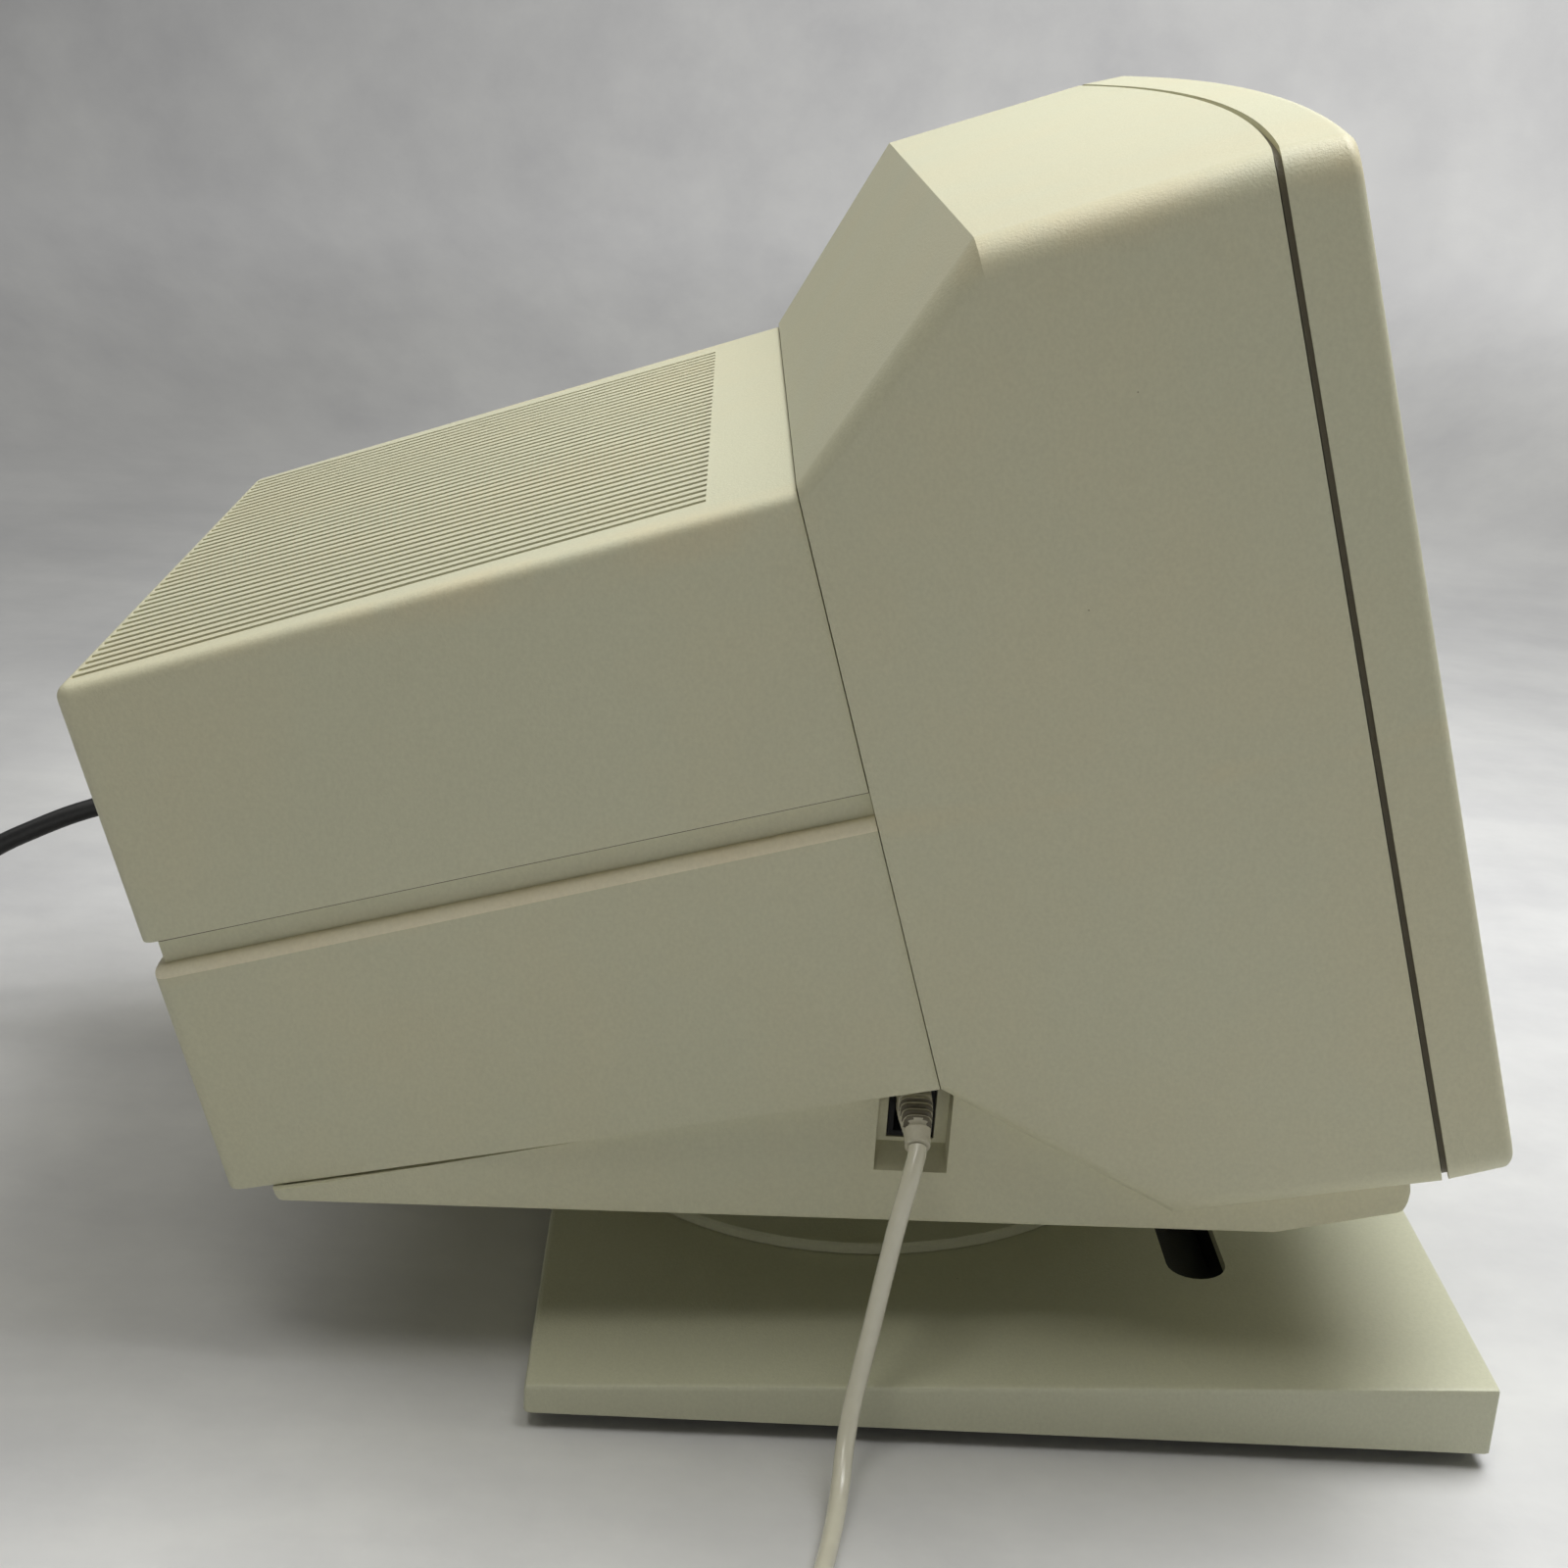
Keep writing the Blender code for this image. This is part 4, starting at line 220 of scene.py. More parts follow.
def map_range(tree, source, out, start, end, low=0.0, high=1.0, smooth=False):
    """A value that goes from low to high while the source goes from start to end."""
    made = tree.nodes.new("ShaderNodeMapRange")
    if smooth:
        made.interpolation_type = "SMOOTHSTEP"
    for name, value in (("From Min", start), ("From Max", end), ("To Min", low), ("To Max", high)):
        made.inputs[name].default_value = value
    link(tree, source, out, made, "Value")
    return made


def parts_of(tree, source, out):
    made = tree.nodes.new("ShaderNodeSeparateXYZ")
    link(tree, source, out, made, "Vector")
    return made


def add_gloss(tree, shader, pattern, low, high):
    """Roughness that varies with a pattern."""
    link(tree, map_range(tree, pattern, "Fac", 0.0, 1.0, low, high), "Result", shader, "Roughness")


def add_bump(tree, shader, pattern, strength, height):
    bump = tree.nodes.new("ShaderNodeBump")
    bump.inputs["Strength"].default_value = strength
    bump.inputs["Distance"].default_value = height
    link(tree, pattern, "Fac", bump, "Height")
    link(tree, bump, "Normal", shader, "Normal")


# Floor and backdrop
FLOOR_RADIUS = 3.2
SWEEP_RADIUS = 1.2
WALL_HIGH = 2.0
FLOOR_STEPS = 12
FLOOR_SIDES = 72
FLOOR_ROUGHNESS = 0.9
EYE_HIGH = 0.37
CLOTH_DARK = (0.66, 0.66, 0.665, 1)
CLOTH_LIGHT = (0.86, 0.86, 0.85, 1)
SMEAR_DARK = (0.93, 0.93, 0.94, 1)
SMEAR_STRETCH = (1, 0.35, 1)
CLOUD_DARK = (0.65, 0.65, 0.655, 1)
CLOUD_LIGHT = (0.785, 0.785, 0.775, 1)
# Distances from the middle of the floor between which the far clouds and the glow come in
FAR_CLOUDS = (0.7, 1.5)
FAR_GLOW = (0.5, 3.2)
# The places on Y between which the glow grows, and what it is at each
GLOW_FROM = 1.6
GLOW_TO = -1.4
GLOW_SHARES = (0.23, 0.72)
# Painted shade on the floor, darker away from the lights: an axis, the places where a fade starts and ends,
# and the shade at its end
FLOOR_SHADE_FADES = (("X", 0.20, 0.80, 0.78), ("Y", 0.12, 0.45, 0.70))


def backdrop_profile():
    """Radius and height along the floor and up the curve that hides the horizon."""
    points = [(FLOOR_RADIUS * k / FLOOR_STEPS, 0.0) for k in range(1, FLOOR_STEPS + 1)]
    for k in range(1, FLOOR_STEPS + 1):
        turn = math.pi / 2 * k / FLOOR_STEPS
        points.append((FLOOR_RADIUS + SWEEP_RADIUS * math.sin(turn), SWEEP_RADIUS * (1 - math.cos(turn))))
    points.append((FLOOR_RADIUS + SWEEP_RADIUS, SWEEP_RADIUS + WALL_HIGH))
    return points


def far_share(tree, parts, near, far):
    """A share that grows from 0 to 1 between two distances from the middle of the floor."""
    return map_range(tree, distance(tree, (parts, "X"), (parts, "Y")), 0, near, far, smooth=True)


def far_clouds(tree, place):
    """Soft clouds, as wide as high from near the object, for the far floor and the curve behind it."""
    seen_from = vector_node(tree, "SUBTRACT", place, "Object")
    seen_from.inputs[1].default_value = (0, 0, EYE_HIGH)
    unit = vector_node(tree, "NORMALIZE", seen_from, 0)
    pattern = noise(tree, unit, scale=17, detail=6, roughness=0.62, out=0)
    return ramp(tree, pattern, "Fac", 0.28, 0.74, CLOUD_DARK, CLOUD_LIGHT)


def backdrop_glow(tree, parts):
    """Painted light: a glow the far backdrop adds to what is seen or mirrored, more on the right than on the
    left.
    """
    far = far_share(tree, parts, *FAR_GLOW)
    right = map_range(tree, parts, "Y", GLOW_FROM, GLOW_TO, *GLOW_SHARES)
    rays = tree.nodes.new("ShaderNodeLightPath")
    seen = math_node(tree, "MAXIMUM", (rays, "Is Camera Ray"), (rays, "Is Glossy Ray"))
    seen = math_node(tree, "MAXIMUM", (seen, 0), (rays, "Is Transmission Ray"))
    share = math_node(tree, "MULTIPLY", (far, "Result"), (right, "Result"))
    return math_node(tree, "MULTIPLY", (share, 0), (seen, 0))


def floor_finish():
    """Grey cloth with clouds and smears, darkened by painted shade in the fades, that turns into far clouds
    with a painted glow.
    """
    paint = bpy.data.materials.new("floor_cloth")
    tree, shader = nodes_of(paint)
    place = tree.nodes.new("ShaderNodeTexCoord")
    parts = parts_of(tree, place, "Object")
    clouds = noise(tree, place, scale=5, detail=6, roughness=0.62)
    soft = ramp(tree, clouds, "Fac", 0.32, 0.72, CLOTH_DARK, CLOTH_LIGHT)
    streaks = noise(tree, place, scale=21, detail=5, roughness=0.6, stretch=SMEAR_STRETCH)
    smears = ramp(tree, streaks, "Fac", 0.35, 0.65, SMEAR_DARK, WHITE)
    near_cloth = multiplied(tree, soft, "Color", smears)
    far = far_share(tree, parts, *FAR_CLOUDS)
    cloth = mixed(tree, far, "Result", near_cloth, far_clouds(tree, place))
    fades = [(map_range(tree, parts, axis, near, end, 1.0, least, smooth=True), "Result")
             for axis, near, end, least in FLOOR_SHADE_FADES]
    # The cloth darkened by the painted shade fades
    uneven = vector_node(tree, "SCALE", cloth, MIX_RESULT)
    link(tree, math_node(tree, "MULTIPLY", *fades), 0, uneven, "Scale")
    link(tree, uneven, 0, shader, "Base Color")
    shader.inputs["Roughness"].default_value = FLOOR_ROUGHNESS
    add_bump(tree, shader, noise(tree, place, scale=60, detail=4), strength=0.25, height=0.002)
    # The painted glow shows only to camera, glossy and transmission rays
    link(tree, cloth, MIX_RESULT, shader, "Emission Color")
    link(tree, backdrop_glow(tree, parts), 0, shader, "Emission Strength")
    return paint


def make_floor():
    turns = [2 * math.pi * k / FLOOR_SIDES for k in range(FLOOR_SIDES)]
    rings = [[(radius * math.cos(turn), radius * math.sin(turn), height) for turn in turns]
             for radius, height in backdrop_profile()]
    floor = loft("floor", rings, first=True)
    floor.data.shade_smooth()
    floor.data.materials.append(floor_finish())


# Light
SKY_COLOUR = (1.0, 0.985, 0.84, 1)
SKY_STRENGTH = 0.05
# Each light's name, place, the point it faces, its two sizes, power and colour
LIGHTS = (
    ("key", (0.12, -0.42, 1.16), (0.02, -0.05, 0.2), (0.7, 0.7), 8.8, (0.97, 0.985, 1.0)),
    ("wide", (0.30, -0.75, 2.5), (0.1, -0.25, 0), (1.8, 1.8), 28, (1.0, 0.99, 0.965)),
    ("rear", (0.35, 0.95, 1.55), (0, 0, 0.2), (1.2, 1.2), 4.6, (1.0, 0.99, 0.95)),
    ("side", (-0.62, 0.42, 1.82), (0, 0.05, 0.15), (0.5, 0.5), 4.4, (1.0, 0.985, 0.92)),
    ("fill", (-1.45, 0.45, 0.30), (0, 0.05, 0.12), (1.0, 0.5), 1.0, (1.0, 0.985, 0.90)),
)


def area_light(name, place, target, size, power, colour):
    data = bpy.data.lights.new(name, "AREA")
    data.shape = "RECTANGLE"
    data.size, data.size_y = size
    data.energy = power
    data.color = colour
    light = new_object(name, data)
    light.location = place
    light.rotation_mode = "QUATERNION"
    light.rotation_quaternion = (Vector(place) - Vector(target)).to_track_quat("Z", "Y")


def make_light():
    world = bpy.context.scene.world or bpy.data.worlds.new("world")
    bpy.context.scene.world = world
    world.use_nodes = True
    sky = world.node_tree.nodes["Background"]
    sky.inputs["Color"].default_value = SKY_COLOUR
    sky.inputs["Strength"].default_value = SKY_STRENGTH
    for light in LIGHTS:
        area_light(*light)


# Finishes
MOTTLE_DARK = (0.94, 0.94, 0.935, 1)
SPECK_COLOUR = (0.42, 0.40, 0.33, 1)
SPECK_SCALE = 42
SPECK_ENDS = (0.006, 0.011)
SMOOTHEST = 0.02
# Level edges of the display where the plastic has aged: half width, height, reach and strength
AGED_EDGES = ((0.1655, 0.1290, 0.013, 1.9), (0.1400, 0.0755, 0.013, 2.0), (0.0, -0.0090, 0.007, 1.1))


def edge_bands(tree, place, edges):
    """A share that is high along level edges of the display; one of no half width runs all across."""
    turned = tree.nodes.new("ShaderNodeMapping")
    turned.inputs["Location"].default_value = TO_DISPLAY.translation
    turned.inputs["Rotation"].default_value = TO_DISPLAY.to_euler()
    link(tree, place, "Object", turned, "Vector")
    parts = parts_of(tree, turned, "Vector")
    side = math_node(tree, "ABSOLUTE", (parts, "X"))
    total = None
    for half, high, reach, strength in edges:
        steps = [(math_node(tree, "SUBTRACT", (parts, "Z"), high), 0)]
        if half:
            steps.append((math_node(tree, "SUBTRACT", (side, 0), half), 0))
        near = map_range(tree, distance(tree, *steps), 0, reach, 0.0, 0.0, strength, smooth=True)
        total = near if total is None else math_node(tree, "MAXIMUM", (total, 0), (near, 0))
    return total


def aged_patches(tree, place, edges):
    """A share that is high in patches, and along the edges where there are any."""
    patches = ramp(tree, noise(tree, place, scale=11, detail=5, roughness=0.6), "Fac", 0.42, 0.72)
    if not edges:
        return patches
    broken = ramp(tree, noise(tree, place, scale=38, detail=4, roughness=0.6), "Fac", 0.25, 0.6)
    bands = math_node(tree, "MULTIPLY", (edge_bands(tree, place, edges), 0), (broken, "Color"))
    return math_node(tree, "MAXIMUM", (patches, "Color"), (bands, 0))


def plastic(name, colour, tan, tan_share=0.35, roughness=0.48, edges=()):
    """Moulded plastic: fine spark texture, faint patches of ageing, small specks, and uneven gloss."""
    paint = bpy.data.materials.new(name)
    tree, shader = nodes_of(paint)
    place = tree.nodes.new("ShaderNodeTexCoord")
    faint = math_node(tree, "MULTIPLY", (aged_patches(tree, place, edges), 0), tan_share)
    aged = mixed(tree, faint, 0, colour, tan)
    mottle = ramp(tree, noise(tree, place, scale=900, detail=2), "Fac", 0.3, 0.7, MOTTLE_DARK, WHITE)
    shaded = multiplied(tree, aged, MIX_RESULT, mottle)
    specks = tree.nodes.new("ShaderNodeTexVoronoi")
    specks.inputs["Scale"].default_value = SPECK_SCALE
    specks.inputs["Randomness"].default_value = 1
    link(tree, place, "Object", specks, "Vector")
    dots = ramp(tree, specks, "Distance", *SPECK_ENDS, SPECK_COLOUR, WHITE)
    link(tree, multiplied(tree, shaded, MIX_RESULT, dots), MIX_RESULT, shader, "Base Color")
    add_gloss(tree, shader, noise(tree, place, scale=25, detail=4), roughness - 0.06, roughness + 0.08)
    grain = noise(tree, place, scale=1500, detail=2, roughness=0.6)
    add_bump(tree, shader, grain, strength=0.55, height=0.00022)
    return paint


def simple(name, colour, second, roughness, scale, metallic=0.0, depth=0.00005, stretch=None, coat=0.0,
           coat_roughness=0.1):
    """A finish with a fine two-tone variation, uneven gloss and a small bump."""
    paint = bpy.data.materials.new(name)
    tree, shader = nodes_of(paint)
    place = tree.nodes.new("ShaderNodeTexCoord")
    pattern = noise(tree, place, scale, stretch=stretch)
    tint = ramp(tree, pattern, "Fac", 0.3, 0.7, (*colour, 1), (*second, 1))
    link(tree, tint, "Color", shader, "Base Color")
    shader.inputs["Metallic"].default_value = metallic
    shader.inputs["Coat Weight"].default_value = coat
    shader.inputs["Coat Roughness"].default_value = coat_roughness
    gloss_low = max(roughness - 0.07, SMOOTHEST)
    add_gloss(tree, shader, noise(tree, place, scale / 8), gloss_low, roughness + 0.07)
    add_bump(tree, shader, pattern, strength=0.4, height=depth)
    return paint


CASE = plastic("case_plastic", (0.665, 0.655, 0.480), (0.735, 0.650, 0.430), edges=AGED_EDGES)
PLATE = plastic("plate_plastic", (0.640, 0.640, 0.480), (0.62, 0.59, 0.42), 0.25, roughness=0.42)
# Dust with painted shade: darker brown for the bottoms of the vent slots
DUST_AND_SHADE = plastic("vent_dust_and_painted_shade", (0.33, 0.30, 0.205), (0.27, 0.23, 0.15), 0.5)
# Painted shade: near black for the plate's unlit inside
PAINTED_INSIDE_SHADE = plastic("plate_inside_painted_shade", (0.012, 0.012, 0.011), (0.02, 0.019, 0.017), 0.4)
# Aged tan with a painted highlight: lighter than the case plastic, for the lit ledge under the groove
AGED_LEDGE_HIGHLIGHT = plastic("aged_ledge_painted_highlight", (0.86, 0.80, 0.60), (0.88, 0.76, 0.53), 0.8)
# Painted shade with grime: dark brown for grooves and seams, where shade falls
SHADE_AND_GRIME = plastic("seam_grime_and_painted_shade", (0.165, 0.145, 0.100), (0.11, 0.095, 0.062), 0.5)
JET = simple("jack_plastic", (0.003, 0.003, 0.0035), (0.006, 0.006, 0.007), 0.8, 1500)
DARK = simple("dark_plastic", (0.020, 0.020, 0.021), (0.034, 0.034, 0.036), 0.45, 1500)
RUBBER = simple("rubber", (0.018, 0.018, 0.018), (0.035, 0.034, 0.033), 0.8, 900)
STEEL = simple("steel", (0.52, 0.52, 0.53), (0.62, 0.62, 0.62), 0.33, 500,
               metallic=1.0, depth=0.00003, stretch=(1, 0.15, 1))
COPPER = simple("copper_winding", (0.50, 0.20, 0.09), (0.72, 0.33, 0.15), 0.35, 350,
                metallic=0.7, depth=0.0003, stretch=(1, 8, 1))
BOARD = simple("circuit_board", (0.035, 0.19, 0.08), (0.06, 0.28, 0.12), 0.4, 300)
NYLON = simple("nylon", (0.80, 0.79, 0.72), (0.86, 0.85, 0.79), 0.4, 700)
LAMP = simple("lamp_lens", (0.10, 0.42, 0.09), (0.16, 0.55, 0.14), 0.15, 900)
KEY_CORD = simple("keyboard_cord", (0.73, 0.70, 0.57), (0.80, 0.77, 0.63), 0.24, 120, depth=0.00004, coat=0.5)
BOOT = simple("boot_plastic", (0.58, 0.55, 0.44), (0.64, 0.605, 0.485), 0.4, 900)
MAINS = simple("mains_cord", (0.007, 0.007, 0.008), (0.014, 0.014, 0.015), 0.45, 700)
GLASS = simple("screen_glass", (0.085, 0.098, 0.088), (0.100, 0.114, 0.103), 0.34, 2400,
               depth=0.00001, coat=0.6, coat_roughness=0.28)

FINISHES = {"case": CASE, "plate": PLATE, "dark": DARK, "rubber": RUBBER, "glass": GLASS, "steel": STEEL,
            "copper": COPPER, "board": BOARD, "nylon": NYLON, "lamp": LAMP, "keyboard_cord": KEY_CORD,
            "mains_cord": MAINS}
OWN_FINISH = {"keyboard_jack": JET, "keyboard_plug": BOOT}
RIDES = {node: body for body, nodes in frame["record"]["behaviour"]["bodies"].items() for node in nodes}


def paint_nodes():
    for row in frame["record"]["subparts"]:
        node = NODES[row["node"]]
        node.data.materials.clear()
        node.data.materials.append(OWN_FINISH.get(row["node"], FINISHES[row["material_slot"]]))


# Cords, on the routes of the source
def smooth_route(points, spacing):
    """Points at an even spacing along a smooth curve through the given points."""
    knots = [Vector(p) for p in points]
    knots = [2 * knots[0] - knots[1], *knots, 2 * knots[-1] - knots[-2]]
    steps = 24
    dense = []
    for a, b, c, d in zip(knots, knots[1:], knots[2:], knots[3:]):
        for k in range(steps):
            t = k / steps
            dense.append((2 * b + (c - a) * t + (2 * a - 5 * b + 4 * c - d) * t * t
                          + (3 * b - a - 3 * c + d) * t ** 3) / 2)
    dense.append(knots[-2])
    walked = np.concatenate([[0], np.cumsum([(q - p).length for p, q in zip(dense, dense[1:])])])
    count = max(2, round(walked[-1] / spacing) + 1)
    table = np.array([list(p) for p in dense])
    stations = np.linspace(0, walked[-1], count)
    return [Vector([np.interp(s, walked, table[:, axis]) for axis in range(3)]) for s in stations]


# Sizes of the cords, and their routes as points in the source's frame, from the exit to the coil
SHIFT = Vector((0, CENTRE_SHIFT, 0))
CORD_SIDES = 20
CORD_SHARP = math.radians(50)
KEY_WIDE = 0.005
MAINS_WIDE = 0.0068
TIE_THICK = 0.0008
FLOOR_GAP = 0.0001
COIL_CLEAR = 0.0012
COIL_STEPS = 24
KEY_COIL_RADIUS = 0.0275
KEY_COIL_TURNS = 4.0
KEY_COIL_START = (-0.2960, 0.0350)
KEY_FIRST_STEP = 0.3
DROP_STEPS = 8
KEY_ROUTE = (
    (-0.1576, -0.0014, 0.0755), (-0.1600, 0.0008, 0.0660), (-0.1625, 0.0030, 0.0540),
    (-0.1655, 0.0056, 0.0390), (-0.1686, 0.0076, 0.0293), (-0.1733, 0.0096, 0.0211),
    (-0.1790, 0.0111, 0.0147), (-0.1859, 0.0120, 0.0094), (-0.1928, 0.0131, 0.0059),
    (-0.2003, 0.0142, 0.0036), (-0.2097, 0.0160, 0.0027), (-0.2260, 0.0193, 0.0026),
    (-0.2420, 0.0228, 0.0026), (-0.2580, 0.0264, 0.0027), (-0.2770, 0.0307, 0.0032),
)
MAINS_COIL_RADIUS = 0.0375
MAINS_COIL_TURNS = 3.25
MAINS_COIL_START = (0.0680, 0.4080)
MAINS_ROUTE = (
    (0.0862, 0.2640, 0.0845), (0.0842, 0.2740, 0.0820), (0.0822, 0.2850, 0.0780),
    (0.0802, 0.2950, 0.0735), (0.0785, 0.3050, 0.0685), (0.0768, 0.3160, 0.0605),
    (0.0752, 0.3260, 0.0510), (0.0737, 0.3360, 0.0400), (0.0723, 0.3460, 0.0285),
    (0.0710, 0.3570, 0.0175), (0.0698, 0.3700, 0.0092), (0.0688, 0.3850, 0.0052),
)
FAR_PLUG_HALF = 0.0036
BOOT_END = (-0.1488, -0.0002)
BOOT_BEFORE = (-0.1440, 0.0026)
RELIEF_END = 0.026
GRIP_END = 0.022
BOX_LENGTH = 0.197
INLET_X = 0.088
INLET_FLANGE = 0.002
POWER_UP = -0.022
INLET_PLACE = (INLET_X, BOX_LENGTH + GAP + INLET_FLANGE + GAP, POWER_UP)


def coil_points(start, heading, side, mid_radius, turns, wide):
    """The source's coil: two layers, from outside in, up, and out again."""
    pitch = wide + COIL_CLEAR
    outer = mid_radius + pitch * turns / 2
    low = TIE_THICK + GAP + wide / 2
    ahead = Vector((*heading, 0)).normalized()
    across = Vector((-ahead.y, ahead.x, 0)) * side
    centre = Vector((*start, low)) + across * outer
    points = [centre - across * outer - ahead * wide]
    for k in range(round(2 * turns * COIL_STEPS) + 1):
        turn = 2 * math.pi * k / COIL_STEPS
        done = k / COIL_STEPS
        radius = outer - pitch * (done if done < turns else 2 * turns - done)
        climb = min(max((done - turns) * 2 + 1 / 2, 0), 1)
        rise = pitch * (1 - math.cos(math.pi * climb)) / 2
        spoke = -across * math.cos(turn) + ahead * math.sin(turn)
        points.append(centre + spoke * radius + Vector((0, 0, rise)))
    last = (points[-1] - points[-2]).normalized()
    last.z = 0
    points.append(points[-1] + last * wide)
    return points, last


def tube(name, points, diameter, finish):
    """A round tube with flat ends through the points, its rings turned as little as possible."""
    radius = diameter / 2
    turns = [2 * math.pi * k / CORD_SIDES for k in range(CORD_SIDES)]
    tangents = []
    for i in range(len(points)):
        a = points[max(i - 1, 0)]
        b = points[min(i + 1, len(points) - 1)]
        tangents.append((b - a).normalized())
    across = tangents[0].orthogonal().normalized()
    rings = []
    for point, tangent in zip(points, tangents):
        across = (across - tangent * across.dot(tangent)).normalized()
        up = tangent.cross(across)
        a, b = across * radius, up * radius
        rings.append([point + a * math.cos(turn) + b * math.sin(turn) for turn in turns])
    obj = loft(name, rings, first=True, last=True)
    obj.data.materials.append(finish)
    obj.data.shade_smooth()
    obj.data.set_sharp_from_angle(angle=CORD_SHARP)
    return obj


def heading_of(route, coil_start):
    """The level direction from a route's last point to the start of its coil."""
    return coil_start[0] - route[-1][0], coil_start[1] - route[-1][1]


def lead_path(begin, first, route, coil, heading, wide):
    """A lead's points from its exit: through the first point and the route, then round the coil."""
    ahead = Vector((*heading, 0)).normalized()
    meet = coil[0] - ahead * GAP
    free = smooth_route([first, *route, meet - ahead * wide], wide * 2)
    whole = smooth_route([begin, *free, meet, *coil[1:]], wide / 2)
    return [point + SHIFT for point in whole]


def keyboard_lead():
    before, end = [Vector((x, 0, z)) for x, z in (BOOT_BEFORE, BOOT_END)]
    out = (end - before).normalized()
    begin = JACK @ (end + out * GAP) - SHIFT
    first = begin + (JACK.to_3x3() @ out).normalized() * KEY_WIDE * KEY_FIRST_STEP
    heading = heading_of(KEY_ROUTE, KEY_COIL_START)
    coil, last = coil_points(KEY_COIL_START, heading, -1, KEY_COIL_RADIUS, KEY_COIL_TURNS, KEY_WIDE)
    floor = FAR_PLUG_HALF + FLOOR_GAP
    drop = coil[-1].z - floor
    for k in range(1, DROP_STEPS + 1):
        along = coil[-1] + last * KEY_WIDE
        along.z = floor + drop * (1 + math.cos(math.pi * k / DROP_STEPS)) / 2
        coil.append(along)
    coil.append(coil[-1] + last * KEY_WIDE)
    path = lead_path(begin, first, KEY_ROUTE, coil, heading, KEY_WIDE)
    lead = tube("keyboard_lead", path, KEY_WIDE, KEY_CORD)
    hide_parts("keyboard_cord", "keyboard_coil")
    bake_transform(lead)


def mains_lead():
    place = Vector(INLET_PLACE) + Vector((0, GRIP_END + GAP, 0))
    end = DISPLAY @ (place + Vector((0, RELIEF_END + GAP, 0)))
    out = (end - DISPLAY @ place).normalized()
    begin = end - SHIFT
    heading = heading_of(MAINS_ROUTE, MAINS_COIL_START)
    coil, _ = coil_points(MAINS_COIL_START, heading, 1, MAINS_COIL_RADIUS, MAINS_COIL_TURNS, MAINS_WIDE)
    path = lead_path(begin, begin + out * MAINS_WIDE, MAINS_ROUTE, coil, heading, MAINS_WIDE)
    lead = tube("mains_lead", path, MAINS_WIDE, MAINS)
    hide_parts("power_cord", "power_coil")
    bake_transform(lead)


# Housing, drawn again with the source's sizes, finer steps and real roundings
# Points nearer than this are one point
SAME_PLACE = 1e-6
ROUND_STEPS = 8
RING_ACROSS = 28
RING_DOWN = 8
WALL = 0.003
TONGUE = 0.007
TONGUE_GAP = 0.0011
COLLAR_HALF = 0.1685
COLLAR_HALF_LOW = 0.153
COLLAR_TOP = 0.131
TOP_RISE = 0.0035
COLLAR_BOTTOM = 0.1345
COLLAR_PROUD = 0.0012
COLLAR_SHOULDER = 0.053
COLLAR_CORNER = 0.009
COLLAR_STEPS = 6
LEAST_BULGE = 1e-9
NOTCH_ROOM = 0.0005
SEAM_SIDE = 0.1213
SEAM_WIDE = 0.0018
SEAM_BULGE = 0.014
SEAM_DEEP = 0.0022
SEAM_DEEP_UNDER = 0.0013
SEAM_MARGIN = 0.00005
FRONT_SIDE = 0.1405
FRONT_BULGE = 0.0125
FRONT_ROUND = 0.0039
SIDE_ROUND = 0.0024
FRONT_LOWER = 0.0004
# Rear box
BOX_HALF = (0.1444, 0.1328)
COVER_HIGH = (0.0795, 0.072)
SHELL_LOW = (0.086, 0.075)
PARTING = 0.0075
LIP_HIGH = 0.010
LIP_INSET = WALL + 2 * GAP
BOX_EDGE = 0.0036
BOX_CORNER = 0.005
BOX_STEPS = 10
SHELL_EDGE = 0.0032
# Depth under the cover's edge from which the groove's lip is painted dark: painted shade with grime
GROOVE_SHADE_AND_DIRT = 0.0014
# Screen
SCREEN_UP = 0.005
OPENING_HALF = (0.130, 0.098)
OPENING_CORNER = 0.016
OPENING_SLOPE = 0.007
THROAT_SHARE = 1.6
TUBE_FACE = 0.1395
FACE_RADIUS = (0.95, 0.75)
FACE_NORMAL = -0.8
FACE_REACH = 0.006
FACE_RINGS = 24
FACE_STEP = 0.005
# Vent panel
VENT_FRONT = 0.0236
VENT_REAR_MARGIN = 0.0032
VENT_SIDE_MARGIN = 0.0058
VENT_PITCH = 0.0065
VENT_SLOT = 0.0030
VENT_DEEP = 0.0016
# Share of the slot depth below which the vent slots get dust with painted shade
DUST_AND_SHADE_FROM = 0.7
# Lamp, thumbwheels, screws and holes
BAR_UP = SCREEN_UP - OPENING_HALF[1] - 0.0285
LAMP_X = COLLAR_HALF - 0.0445
LAMP_RADIUS = 0.0025
WHEEL_X = (COLLAR_HALF - 0.0845, COLLAR_HALF - 0.0625)
WHEEL_SIZE = (0.0066, 0.0166)
BOSS_X = COLLAR_HALF - 0.014
BOSS_Z = OPENING_HALF[1] + 0.0165
BOSS_RADIUS = 0.0055
BOSS_END = -0.118
SCREW_INSET = 0.0278
SCREW_UP = 0.004
SCREW_RADIUS = 0.0019
PORT_HOLE = (0.0401, WALL * 4, 0.0091)
PORT_UP = -0.06185
INLET_HOLE = (0.0291, WALL * 6, 0.0211)
SWITCH_HOLE = (0.0171, WALL * 6, 0.0171)
# Holes in the rear wall: size, and the place of the middle across and up
REAR_HOLES = ((PORT_HOLE, -0.072, PORT_UP), (PORT_HOLE, -0.006, PORT_UP), (INLET_HOLE, INLET_X, POWER_UP),
              (SWITCH_HOLE, 0.044, POWER_UP))
